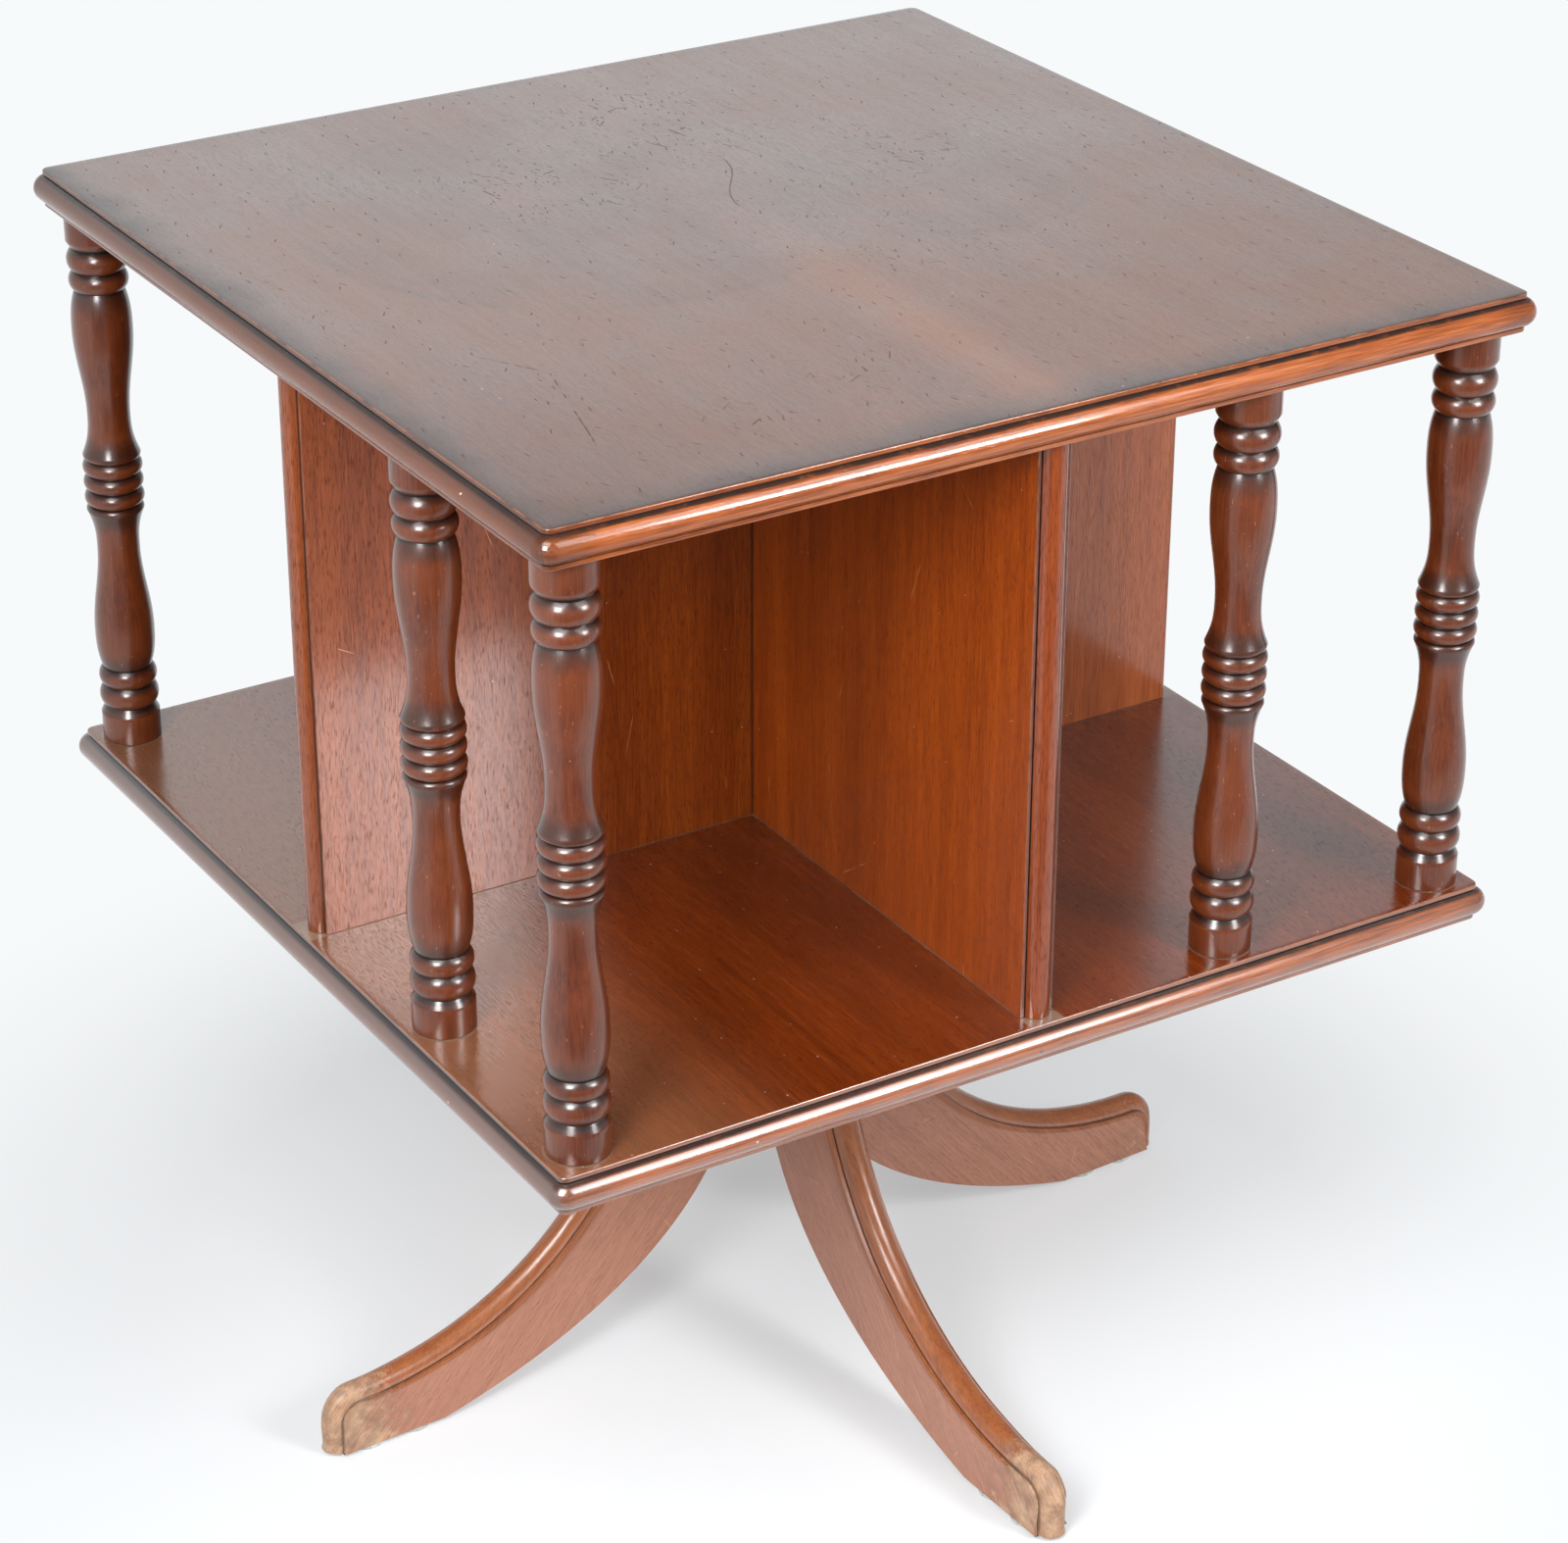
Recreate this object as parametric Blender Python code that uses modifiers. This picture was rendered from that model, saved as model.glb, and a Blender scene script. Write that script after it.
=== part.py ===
"""Revolving book table: a square moulded top and shelf joined by crossed dividers and turned
spindles, turning on a swivel over a base of four moulded sabre legs. Metres, +Z up, origin on
the floor under the swivel's axis."""

import math

import bmesh
import bpy
from mathutils import Matrix, Vector

MM = 0.001

# Clearance between pieces that touch, and how far a cutter runs past the face it opens
GAP = 0.3 * MM
CUT_PAST = 2 * MM

# Top and shelf boards, with a bead between two fillets on the edge
BOARD_WIDTH = 508 * MM
BOARD_THICKNESS = 18.2 * MM
FILLET_CORNER_RADIUS = 4.1 * MM
EDGE_FILLET_HEIGHT = 2.8 * MM
EDGE_FILLET_SETBACK = 4.9 * MM
SHELF_TOP_HEIGHT = 286 * MM
CLEAR_HEIGHT = 280 * MM

# Crossed dividers with a beaded end, and the tongues that hold them in the boards
DIVIDER_SPAN = 489 * MM
DIVIDER_THICKNESS = 17 * MM
DIVIDER_FILLET_WIDTH = 2.2 * MM
DIVIDER_BEAD_PROUD = 4.9 * MM
TONGUE_THICKNESS = 8 * MM
TONGUE_DEPTH = 6 * MM
TONGUE_STOP = 20 * MM

# Turned spindles: places on the board, tenons, then sizes from one end to the middle
SPINDLE_INSET = 23.2 * MM
MID_SPINDLE_OFFSET = 108.8 * MM
TENON_RADIUS = 8 * MM
TENON_LENGTH = 10 * MM
COLLAR_RADIUS = 14.6 * MM
COLLAR_LENGTH = 14.2 * MM
COLLAR_CHAMFER = 4.1 * MM
LARGE_RING_RADIUS = 14.8 * MM
LARGE_RING_WIDTH = 11.4 * MM
SMALL_RING_RADIUS = 14.5 * MM
SMALL_RING_WIDTH = 9.7 * MM
GROOVE_RADIUS = 12.9 * MM
NECK_RADIUS = 12.1 * MM
BELLY_RADIUS = 14.8 * MM
BELLY_DISTANCE = 20.7 * MM
WAIST_RADIUS = 10.5 * MM
LIP_RADIUS = 14.2 * MM
LIP_WIDTH = 3.4 * MM
FLARE_LENGTH = 20.3 * MM
MIDDLE_RING_RADIUS = 14.7 * MM
MIDDLE_RING_WIDTH = 8.1 * MM
MIDDLE_RINGS = 3

# Sabre legs: side outline, thickness and the bead along the upper edge
LEGS = 4
LEG_YAW = math.radians(2.5)
LEG_THICKNESS = 19 * MM
LEG_BEAD_RADIUS = 7.2 * MM
LEG_TOP_REACH = 58 * MM
LEG_TOP_PULL = 140 * MM
TOE_REACH = 251 * MM
TOE_HEIGHT = 27.5 * MM
TOE_ROUND = 11 * MM
TOE_PULL = 93 * MM
SOLE_LENGTH = 57 * MM
SOLE_PULL = 83.6 * MM
HEEL_PULL = 58.9 * MM
HEEL_SLOPE = math.radians(67.6)
SOLE_SLOPE = math.radians(12.7)

# Dovetails that hold the legs in the turned hub
DOVETAIL_DEPTH = 9 * MM
DOVETAIL_NECK = 9 * MM
DOVETAIL_TIP = 12 * MM
DOVETAIL_STOP = 14 * MM

# Hub with its platform, bored for the swivel's stud
HUB_RADIUS = 28.5 * MM
HUB_BOTTOM = 112 * MM
HUB_BOTTOM_ROUND = 4 * MM
PLATFORM_RADIUS = 70 * MM
PLATFORM_THICKNESS = 20 * MM
PLATFORM_ROUND = 6 * MM

# Swivel: two steel plates with a fibre washer between them, held down by a stud and nut
PLATE_RADIUS = 46 * MM
PLATE_THICKNESS = 2.5 * MM
WASHER_RADIUS = 26 * MM
WASHER_THICKNESS = 2 * MM
STUD_RADIUS = 6 * MM
STUD_CLEARANCE = 0.4 * MM
NUT_RADIUS = 11 * MM
NUT_THICKNESS = 6 * MM
NUT_WASHER_RADIUS = 13 * MM
NUT_WASHER_THICKNESS = 1.6 * MM
STUD_END = 2 * MM

# Countersunk wood screws through the plates
SCREWS_PER_PLATE = 4
SCREW_CIRCLE_RADIUS = 37 * MM
SCREW_HEAD_RADIUS = 3.4 * MM
SCREW_HEAD_HEIGHT = 2 * MM
SCREW_SHANK_RADIUS = 1.6 * MM
SCREW_LENGTH = 13 * MM

# Round glides under the toes, two to a foot
GLIDE_RADIUS = 10.4 * MM
GLIDE_THICKNESS = 1.8 * MM
GLIDE_SPACING = 25.7 * MM
GLIDE_FROM_TOE = 16.3 * MM

# Facets round turned pieces, holes and arcs, and steps along a leg
SPINDLE_SIDES = 10
HUB_SIDES = 20
HOLE_SIDES = 12
SCREW_SIDES = 8
BEAD_SEGMENTS = 6
CORNER_SEGMENTS = 4
LEG_STATIONS = 14
TOE_STATIONS = 4

# Heights and half sizes that follow from the values above
BOARD_HALF = BOARD_WIDTH / 2
SHELF_BOTTOM = SHELF_TOP_HEIGHT - BOARD_THICKNESS
TOP_UNDERSIDE = SHELF_TOP_HEIGHT + CLEAR_HEIGHT
SWIVEL_PLATE_TOP = SHELF_BOTTOM - GAP
SWIVEL_PLATE_BOTTOM = SWIVEL_PLATE_TOP - PLATE_THICKNESS
FIBRE_TOP = SWIVEL_PLATE_BOTTOM - GAP
FIBRE_BOTTOM = FIBRE_TOP - WASHER_THICKNESS
BASE_PLATE_TOP = FIBRE_BOTTOM - GAP
BASE_PLATE_BOTTOM = BASE_PLATE_TOP - PLATE_THICKNESS
HUB_TOP = BASE_PLATE_BOTTOM - GAP
PLATFORM_BOTTOM = HUB_TOP - PLATFORM_THICKNESS
LEG_TOP = PLATFORM_BOTTOM - GAP
SOLE_HEIGHT = GLIDE_THICKNESS + GAP
LEG_SEAT_RADIUS = HUB_RADIUS + GAP
STUD_BORE_RADIUS = STUD_RADIUS + STUD_CLEARANCE
NUT_WASHER_TOP = HUB_BOTTOM - GAP
NUT_WASHER_BOTTOM = NUT_WASHER_TOP - NUT_WASHER_THICKNESS
NUT_TOP = NUT_WASHER_BOTTOM - GAP
NUT_BOTTOM = NUT_TOP - NUT_THICKNESS
STUD_BOTTOM = NUT_BOTTOM - STUD_END
SPINDLE_PLACE = BOARD_HALF - SPINDLE_INSET

MAHOGANY_BOARD = (0.25, 0.105, 0.055)
MAHOGANY_PANEL = (0.36, 0.15, 0.075)
MAHOGANY_TURNED = (0.16, 0.05, 0.025)
MAHOGANY_LEG = (0.33, 0.14, 0.075)
STEEL = (0.45, 0.45, 0.46)
FIBRE = (0.12, 0.06, 0.04)
CLEAR_GREY = (0.55, 0.56, 0.52)


def clear_scene():
    for item in list(bpy.data.objects):
        bpy.data.objects.remove(item, do_unlink=True)


def new_collection(name):
    collection = bpy.data.collections.new(name)
    bpy.context.scene.collection.children.link(collection)
    return collection


def new_pivot(name, yaw=0.0):
    """An empty on the swivel's axis that carries one of the two halves of the table."""
    empty = bpy.data.objects.new(name, None)
    empty.rotation_euler.z = yaw
    PARTS.objects.link(empty)
    return empty


def paint(piece, colour, roughness, metallic=0.0):
    """Gives a piece its own material."""
    material = bpy.data.materials.new(piece.name + "_finish")
    material.use_nodes = True
    shader = material.node_tree.nodes["Principled BSDF"]
    shader.inputs["Base Color"].default_value = (*colour, 1.0)
    shader.inputs["Roughness"].default_value = roughness
    shader.inputs["Metallic"].default_value = metallic
    piece.data.materials.clear()
    piece.data.materials.append(material)


def place(piece, pivot, spot=(0, 0), yaw=0.0):
    """Puts a piece on the half of the table that carries it, at a spot on the plan."""
    piece.parent = pivot
    piece.location = (*spot, 0)
    piece.rotation_euler.z = yaw
    return piece


def mesh_object(name, mesh, collection):
    piece = bpy.data.objects.new(name, mesh)
    collection.objects.link(piece)
    return piece


def mesh_piece(name, mesh):
    return mesh_object(name, mesh, PARTS)


def smooth(piece, angle=35):
    piece.data.shade_smooth()
    piece.data.set_sharp_from_angle(angle=math.radians(angle))


def mesh_from(name, shape):
    """Ends a bmesh as a mesh whose faces point out."""
    bmesh.ops.recalc_face_normals(shape, faces=shape.faces)
    mesh = bpy.data.meshes.new(name)
    shape.to_mesh(mesh)
    shape.free()
    return mesh


def loft(name, rings):
    """A closed mesh through rings of matching points, with a flat cap on each end ring."""
    shape = bmesh.new()
    loops = [[shape.verts.new(point) for point in ring] for ring in rings]
    count = len(loops[0])
    for low, high in zip(loops, loops[1:]):
        for i in range(count):
            j = (i + 1) % count
            shape.faces.new((low[i], low[j], high[j], high[i]))
    shape.faces.new(list(reversed(loops[0])))
    shape.faces.new(loops[-1])
    return mesh_from(name, shape)


def prism(name, outline, bottom, top):
    """A flat outline in X and Y, raised from bottom to top."""
    return loft(name, [[(x, y, z) for x, y in outline] for z in (bottom, top)])


def box(name, low, high):
    shape = bmesh.new()
    bmesh.ops.create_cube(shape, size=1.0)
    low, high = Vector(low), Vector(high)
    bmesh.ops.scale(shape, vec=high - low, verts=shape.verts)
    bmesh.ops.translate(shape, vec=(low + high) / 2, verts=shape.verts)
    return mesh_from(name, shape)


def cylinder(name, radius, bottom, top, sides=HOLE_SIDES):
    shape = bmesh.new()
    bmesh.ops.create_cone(
        shape,
        cap_ends=True,
        segments=sides,
        radius1=radius,
        radius2=radius,
        depth=top - bottom,
        matrix=Matrix.Translation((0, 0, (top + bottom) / 2)),
    )
    return mesh_from(name, shape)


def turned(name, profile, sides, collection, closed=False):
    """An outline of (radius, height) points, top to bottom, turned about Z. A closed outline goes
    round a bore."""
    mesh = bpy.data.meshes.new(name)
    count = len(profile)
    edges = [(i, i + 1) for i in range(count - 1)]
    if closed:
        edges.append((count - 1, 0))
    mesh.from_pydata([(r, 0, z) for r, z in profile], edges, [])
    piece = mesh_object(name, mesh, collection)
    screw = piece.modifiers.new("turn", "SCREW")
    screw.axis = "Z"
    screw.steps = sides
    screw.render_steps = sides
    screw.use_merge_vertices = True
    screw.merge_threshold = 0.01 * MM
    return piece


def cutter(name, mesh):
    return mesh_object(name, mesh, CUTTERS)


def combine(piece, tool, operation, spot=(0, 0), yaw=0.0):
    """Joins a tool to a piece or takes it away; the tool moves with the piece's half."""
    place(tool, piece.parent, spot, yaw)
    tool.hide_render = True
    tool.display_type = "WIRE"
    change = piece.modifiers.new(tool.name, "BOOLEAN")
    change.operation = operation
    change.solver = "EXACT"
    change.object = tool


def cut(piece, tool, spot=(0, 0), yaw=0.0):
    combine(piece, tool, "DIFFERENCE", spot, yaw)


def join(piece, tool, spot=(0, 0), yaw=0.0):
    combine(piece, tool, "UNION", spot, yaw)


def equal_turns(count=4):
    return [2 * math.pi * i / count for i in range(count)]


def turn_about_axis(x, y, yaw):
    return (x * math.cos(yaw) - y * math.sin(yaw), x * math.sin(yaw) + y * math.cos(yaw))


def bead_arc(radius, reach, segments=BEAD_SEGMENTS):
    """Points of a bead from its lower side over its crest to its upper side, as (out, up) from a
    fillet face; reach is how far the crest stands proud of that face."""
    sweep = math.acos((radius - reach) / radius)
    centre = reach - radius
    angles = [sweep * (2 * i / segments - 1) for i in range(segments + 1)]
    return [(centre + radius * math.cos(a), radius * math.sin(a)) for a in angles]


def bead_radius(half_height, reach):
    """Radius of the bead that spans a fillet-to-fillet height and stands proud by reach."""
    return (half_height**2 + reach**2) / (2 * reach) if reach < half_height else half_height


def rounded_square(half, corner, height):
    """Points round a square with round corners, at one height."""
    ring = []
    for yaw in equal_turns():
        for i in range(CORNER_SEGMENTS + 1):
            a = math.pi / 2 * i / CORNER_SEGMENTS
            x = half - corner + corner * math.cos(a)
            y = half - corner + corner * math.sin(a)
            ring.append((*turn_about_axis(x, y, yaw), height))
    return ring


def board(name, bottom):
    """A square board whose edge runs fillet, bead, fillet."""
    half_bead = BOARD_THICKNESS / 2 - EDGE_FILLET_HEIGHT
    radius = bead_radius(half_bead, EDGE_FILLET_SETBACK)
    middle = bottom + BOARD_THICKNESS / 2
    edge = [(0.0, -BOARD_THICKNESS / 2)]
    edge += bead_arc(radius, EDGE_FILLET_SETBACK)
    edge.append((0.0, BOARD_THICKNESS / 2))
    face = BOARD_HALF - EDGE_FILLET_SETBACK
    rings = []
    for out, up in edge:
        rings.append(rounded_square(face + out, FILLET_CORNER_RADIUS + out, middle + up))
    piece = place(mesh_piece(name, loft(name, rings)), CASE)
    paint(piece, MAHOGANY_BOARD, 0.3)
    return piece


def spindle_places():
    """A spindle at each corner, and one on each side between a divider and the right-hand corner."""
    places = {}
    sides = ("front", "right", "back", "left")
    for side, yaw in zip(sides, equal_turns()):
        places["corner_" + side] = turn_about_axis(SPINDLE_PLACE, -SPINDLE_PLACE, yaw)
        places["rail_" + side] = turn_about_axis(MID_SPINDLE_OFFSET, -SPINDLE_PLACE, yaw)
    return places


def open_sockets(piece, face, into):
    """Bores a blind socket for each spindle's tenon, from a face into the board."""
    ends = sorted((face - into * CUT_PAST, face + into * (TENON_LENGTH + GAP)))
    tool_mesh = cylinder("socket", TENON_RADIUS + GAP, *ends)
    for name, spot in spindle_places().items():
        cut(piece, cutter(piece.name + "_socket_" + name, tool_mesh), spot)


def open_grooves(piece, face, into):
    """Cuts the crossed stopped grooves that take the dividers' tongues."""
    half_length = DIVIDER_SPAN / 2 - TONGUE_STOP + GAP
    half_width = TONGUE_THICKNESS / 2 + GAP
    ends = sorted((face - into * CUT_PAST, face + into * (TONGUE_DEPTH + GAP)))
    low = (-half_length, -half_width, ends[0])
    high = (half_length, half_width, ends[1])
    for label, yaw in (("x", 0.0), ("y", math.pi / 2)):
        name = piece.name + "_groove_" + label
        cut(piece, cutter(name, box(name, low, high)), yaw=yaw)


def divider(name, yaw, slot_from_top):
    """One of two panels that cross at a halved joint, with a bead on each end."""
    bottom = SHELF_TOP_HEIGHT + GAP
    top = TOP_UNDERSIDE - GAP
    half = DIVIDER_THICKNESS / 2
    half_bead = half - DIVIDER_FILLET_WIDTH
    radius = bead_radius(half_bead, DIVIDER_BEAD_PROUD)
    face = DIVIDER_SPAN / 2 - DIVIDER_BEAD_PROUD
    end = [(face, -half)]
    end += [(face + out, across) for out, across in bead_arc(radius, DIVIDER_BEAD_PROUD)]
    end.append((face, half))
    outline = end + [(-x, -y) for x, y in end]
    piece = place(mesh_piece(name, prism(name, outline, bottom, top)), CASE, yaw=yaw)
    tongue_end = DIVIDER_SPAN / 2 - TONGUE_STOP
    tongue = TONGUE_THICKNESS / 2
    for label, low, high in (
        ("lower", bottom - TONGUE_DEPTH, bottom + CUT_PAST),
        ("upper", top - CUT_PAST, top + TONGUE_DEPTH),
    ):
        tool_name = name + "_tongue_" + label
        tool_mesh = box(tool_name, (-tongue_end, -tongue, low), (tongue_end, tongue, high))
        join(piece, cutter(tool_name, tool_mesh), yaw=yaw)
    middle = (bottom + top) / 2
    past = TONGUE_DEPTH + CUT_PAST
    ends = (middle - GAP / 2, top + past) if slot_from_top else (bottom - past, middle + GAP / 2)
    slot = half + GAP
    low = (-slot, -half - CUT_PAST, ends[0])
    high = (slot, half + CUT_PAST, ends[1])
    cut(piece, cutter(name + "_slot", box(name + "_slot", low, high)), yaw=yaw)
    paint(piece, MAHOGANY_PANEL, 0.4)
    return piece


def ring_profile(start, width, radius, groove):
    """A turned ring as (distance, radius) points that rise out of a groove."""
    middle = start + width / 2
    points = []
    for share in (0.65, 0.0, -0.65):
        angle = share * math.pi / 2
        rise = (radius - groove) * math.cos(angle)
        points.append((middle - width / 2 * math.sin(angle), groove + rise))
    return points


def ease(start, end, steps):
    """Points on an S curve between two (distance, radius) points, without the first."""
    points = []
    for i in range(1, steps + 1):
        share = i / steps
        bend = (1 - math.cos(math.pi * share)) / 2
        points.append((start[0] + (end[0] - start[0]) * share, start[1] + (end[1] - start[1]) * bend))
    return points


def spindle_half():
    """The turned outline from one end to the middle, as (distance, radius) points."""
    half = CLEAR_HEIGHT / 2 - GAP
    points = [(-TENON_LENGTH, 0.0), (-TENON_LENGTH, TENON_RADIUS), (0.0, TENON_RADIUS)]
    points += [(0.0, COLLAR_RADIUS), (COLLAR_LENGTH, COLLAR_RADIUS)]
    at = COLLAR_LENGTH + COLLAR_CHAMFER
    points.append((at, GROOVE_RADIUS))
    points += ring_profile(at, LARGE_RING_WIDTH, LARGE_RING_RADIUS, GROOVE_RADIUS)
    at += LARGE_RING_WIDTH
    points.append((at, GROOVE_RADIUS))
    points += ring_profile(at, SMALL_RING_WIDTH, SMALL_RING_RADIUS, GROOVE_RADIUS)
    at += SMALL_RING_WIDTH
    lip_end = half - MIDDLE_RINGS * MIDDLE_RING_WIDTH / 2
    lip_start = lip_end - LIP_WIDTH
    belly = (at + BELLY_DISTANCE, BELLY_RADIUS)
    waist = (lip_start - FLARE_LENGTH, WAIST_RADIUS)
    for share in (0.0, 0.5, 1.0):
        swell = (BELLY_RADIUS - NECK_RADIUS) * math.sin(share * math.pi / 2)
        points.append((at + BELLY_DISTANCE * share, NECK_RADIUS + swell))
    points += ease(belly, waist, 3)
    for share in (0.75, 1.0):
        spread = (LIP_RADIUS - WAIST_RADIUS) * (1 - math.sqrt(1 - share**2))
        points.append((waist[0] + FLARE_LENGTH * share, WAIST_RADIUS + spread))
    points += [(lip_end - LIP_WIDTH / 4, LIP_RADIUS), (lip_end, GROOVE_RADIUS)]
    rings = []
    for i in range(MIDDLE_RINGS):
        start = lip_end + i * MIDDLE_RING_WIDTH
        rings += ring_profile(start, MIDDLE_RING_WIDTH, MIDDLE_RING_RADIUS, GROOVE_RADIUS)
        rings.append((start + MIDDLE_RING_WIDTH, GROOVE_RADIUS))
    points += [point for point in rings if point[0] < half - GAP]
    points.append((half, MIDDLE_RING_RADIUS if MIDDLE_RINGS % 2 else GROOVE_RADIUS))
    return points


def spindle(name, spot):
    half = spindle_half()
    middle = SHELF_TOP_HEIGHT + CLEAR_HEIGHT / 2
    reach = CLEAR_HEIGHT / 2 - GAP
    upper = [(r, middle + reach - d) for d, r in half]
    lower = [(r, middle - reach + d) for d, r in reversed(half[:-1])]
    piece = place(turned(name, upper + lower, SPINDLE_SIDES, PARTS), CASE, spot)
    paint(piece, MAHOGANY_TURNED, 0.22)
    return piece


def bezier(points, steps):
    """Points along a cubic curve, without its first point."""
    a, b, c, d = (Vector(p) for p in points)
    curve = []
    for i in range(1, steps + 1):
        t = i / steps
        s = 1 - t
        curve.append(a * s**3 + b * 3 * s * s * t + c * 3 * s * t * t + d * t**3)
    return curve


def shoulder_path():
    """The line at the foot of the leg's bead: down the back, round the toe and to the sole."""
    start = Vector((LEG_TOP_REACH, LEG_TOP))
    toe = Vector((TOE_REACH - TOE_ROUND, SOLE_HEIGHT + TOE_HEIGHT))
    handles = (start - Vector((0, LEG_TOP_PULL)), toe - Vector((TOE_PULL, 0)))
    path = [start] + bezier((start, *handles, toe), LEG_STATIONS)
    for i in range(1, TOE_STATIONS + 1):
        a = math.pi / 2 * (1 - i / TOE_STATIONS)
        path.append(toe + TOE_ROUND * Vector((math.cos(a), math.sin(a) - 1)))
    path.append(Vector((TOE_REACH, SOLE_HEIGHT)))
    return path


def under_path():
    """The leg's inner line: down inside the hub, along the underside, and out along the sole."""
    inside = math.sqrt(LEG_SEAT_RADIUS**2 - (LEG_THICKNESS / 2) ** 2) - CUT_PAST
    start = Vector((inside, LEG_TOP))
    heel = Vector((inside, HUB_BOTTOM))
    sole = Vector((TOE_REACH - SOLE_LENGTH, SOLE_HEIGHT))
    down = HEEL_PULL * Vector((math.cos(HEEL_SLOPE), -math.sin(HEEL_SLOPE)))
    along = SOLE_PULL * Vector((-math.cos(SOLE_SLOPE), math.sin(SOLE_SLOPE)))
    inner_steps = LEG_STATIONS // 4
    path = [start.lerp(heel, i / inner_steps) for i in range(inner_steps + 1)]
    path += bezier((heel, heel + down, sole + along, sole), LEG_STATIONS - inner_steps)
    end = Vector((TOE_REACH - GAP, SOLE_HEIGHT))
    steps = TOE_STATIONS + 1
    return path + [sole.lerp(end, i / steps) for i in range(1, steps + 1)]


def path_normals(path):
    """Unit normals on the outer side of a path that runs down the leg's back."""
    normals = []
    for i in range(len(path)):
        along = path[min(i + 1, len(path) - 1)] - path[max(i - 1, 0)]
        normals.append(Vector((-along.y, along.x)).normalized())
    normals[0] = Vector((1, 0))
    normals[-1] = Vector((1, 0))
    return normals


def leg(name, yaw):
    """A sabre leg along +X: flat sides, a bead on the back, a dovetail on the hollowed inner face."""
    half = LEG_THICKNESS / 2
    back = shoulder_path()
    rings = []
    for shoulder, under, normal in zip(back, under_path(), path_normals(back)):
        ring = [(under.x, half, under.y), (under.x, -half, under.y), (shoulder.x, -half, shoulder.y)]
        for i in range(BEAD_SEGMENTS + 1):
            a = math.pi * i / BEAD_SEGMENTS
            point = shoulder + normal * LEG_BEAD_RADIUS * math.sin(a)
            ring.append((point.x, -LEG_BEAD_RADIUS * math.cos(a), point.y))
        ring.append((shoulder.x, half, shoulder.y))
        rings.append(ring)
    piece = place(mesh_piece(name, loft(name, rings)), BASE, yaw=yaw)
    seat_mesh = cylinder(name + "_seat", LEG_SEAT_RADIUS, 0.0, LEG_TOP + CUT_PAST, HUB_SIDES)
    cut(piece, cutter(name + "_seat", seat_mesh))
    tool_mesh = dovetail(name + "_dovetail", 0.0, HUB_BOTTOM + GAP, LEG_TOP - DOVETAIL_STOP)
    join(piece, cutter(name + "_dovetail", tool_mesh), yaw=yaw)
    paint(piece, MAHOGANY_LEG, 0.35)
    return piece


def dovetail(name, clearance, bottom, top):
    """A dovetail along +X that runs into the hub from its side, wider at the tip."""
    tip = HUB_RADIUS - DOVETAIL_DEPTH - clearance
    root = LEG_SEAT_RADIUS + CUT_PAST
    flare = (DOVETAIL_TIP - DOVETAIL_NECK) / 2 / DOVETAIL_DEPTH
    tip_half = DOVETAIL_TIP / 2 + clearance
    root_half = tip_half - flare * (root - tip)
    outline = [(tip, -tip_half), (root, -root_half), (root, root_half), (tip, tip_half)]
    return prism(name, outline, bottom, top)


def quarter_round(centre_radius, centre_height, radius, start):
    """Points on a quarter circle that turns clockwise from a start angle, as (radius, height)."""
    points = []
    for i in range(CORNER_SEGMENTS + 1):
        a = start - math.pi / 2 * i / CORNER_SEGMENTS
        points.append((centre_radius + radius * math.cos(a), centre_height + radius * math.sin(a)))
    return points


def hub():
    """The turned hub: a round platform over a column with a rounded lower edge, bored through."""
    rim = PLATFORM_RADIUS - PLATFORM_ROUND
    profile = [(STUD_BORE_RADIUS, HUB_TOP), (PLATFORM_RADIUS, HUB_TOP)]
    profile += quarter_round(rim, PLATFORM_BOTTOM + PLATFORM_ROUND, PLATFORM_ROUND, 0.0)
    profile.append((HUB_RADIUS, PLATFORM_BOTTOM))
    foot = HUB_RADIUS - HUB_BOTTOM_ROUND
    profile += quarter_round(foot, HUB_BOTTOM + HUB_BOTTOM_ROUND, HUB_BOTTOM_ROUND, 0.0)
    profile.append((STUD_BORE_RADIUS, HUB_BOTTOM))
    piece = place(turned("hub", profile, HUB_SIDES, PARTS, closed=True), BASE)
    for i, yaw in enumerate(equal_turns(LEGS)):
        name = "hub_dovetail_socket_" + str(i + 1)
        tool_mesh = dovetail(name, GAP, HUB_BOTTOM - CUT_PAST, LEG_TOP - DOVETAIL_STOP + GAP)
        cut(piece, cutter(name, tool_mesh), yaw=yaw)
    pilot_holes(piece, HUB_TOP, -1)
    paint(piece, MAHOGANY_LEG, 0.35)
    return piece


def screw_places():
    """Spots of a plate's screws, each midway between two legs."""
    places = []
    for turn in equal_turns(SCREWS_PER_PLATE):
        places.append(turn_about_axis(SCREW_CIRCLE_RADIUS, 0, turn + math.pi / SCREWS_PER_PLATE))
    return places


def pilot_holes(piece, face, into):
    """Bores the screws' holes into wood, from a face that a plate lies on."""
    depth = SCREW_LENGTH - PLATE_THICKNESS + 2 * GAP
    ends = sorted((face - into * CUT_PAST, face + into * depth))
    tool_mesh = cylinder("pilot", SCREW_SHANK_RADIUS + GAP, *ends, sides=SCREW_SIDES)
    for i, spot in enumerate(screw_places()):
        cut(piece, cutter(piece.name + "_pilot_" + str(i + 1), tool_mesh), spot)


def downward(profile):
    """Puts an outline's points in order from top to bottom."""
    return profile if profile[0][1] > profile[-1][1] else profile[::-1]


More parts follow.
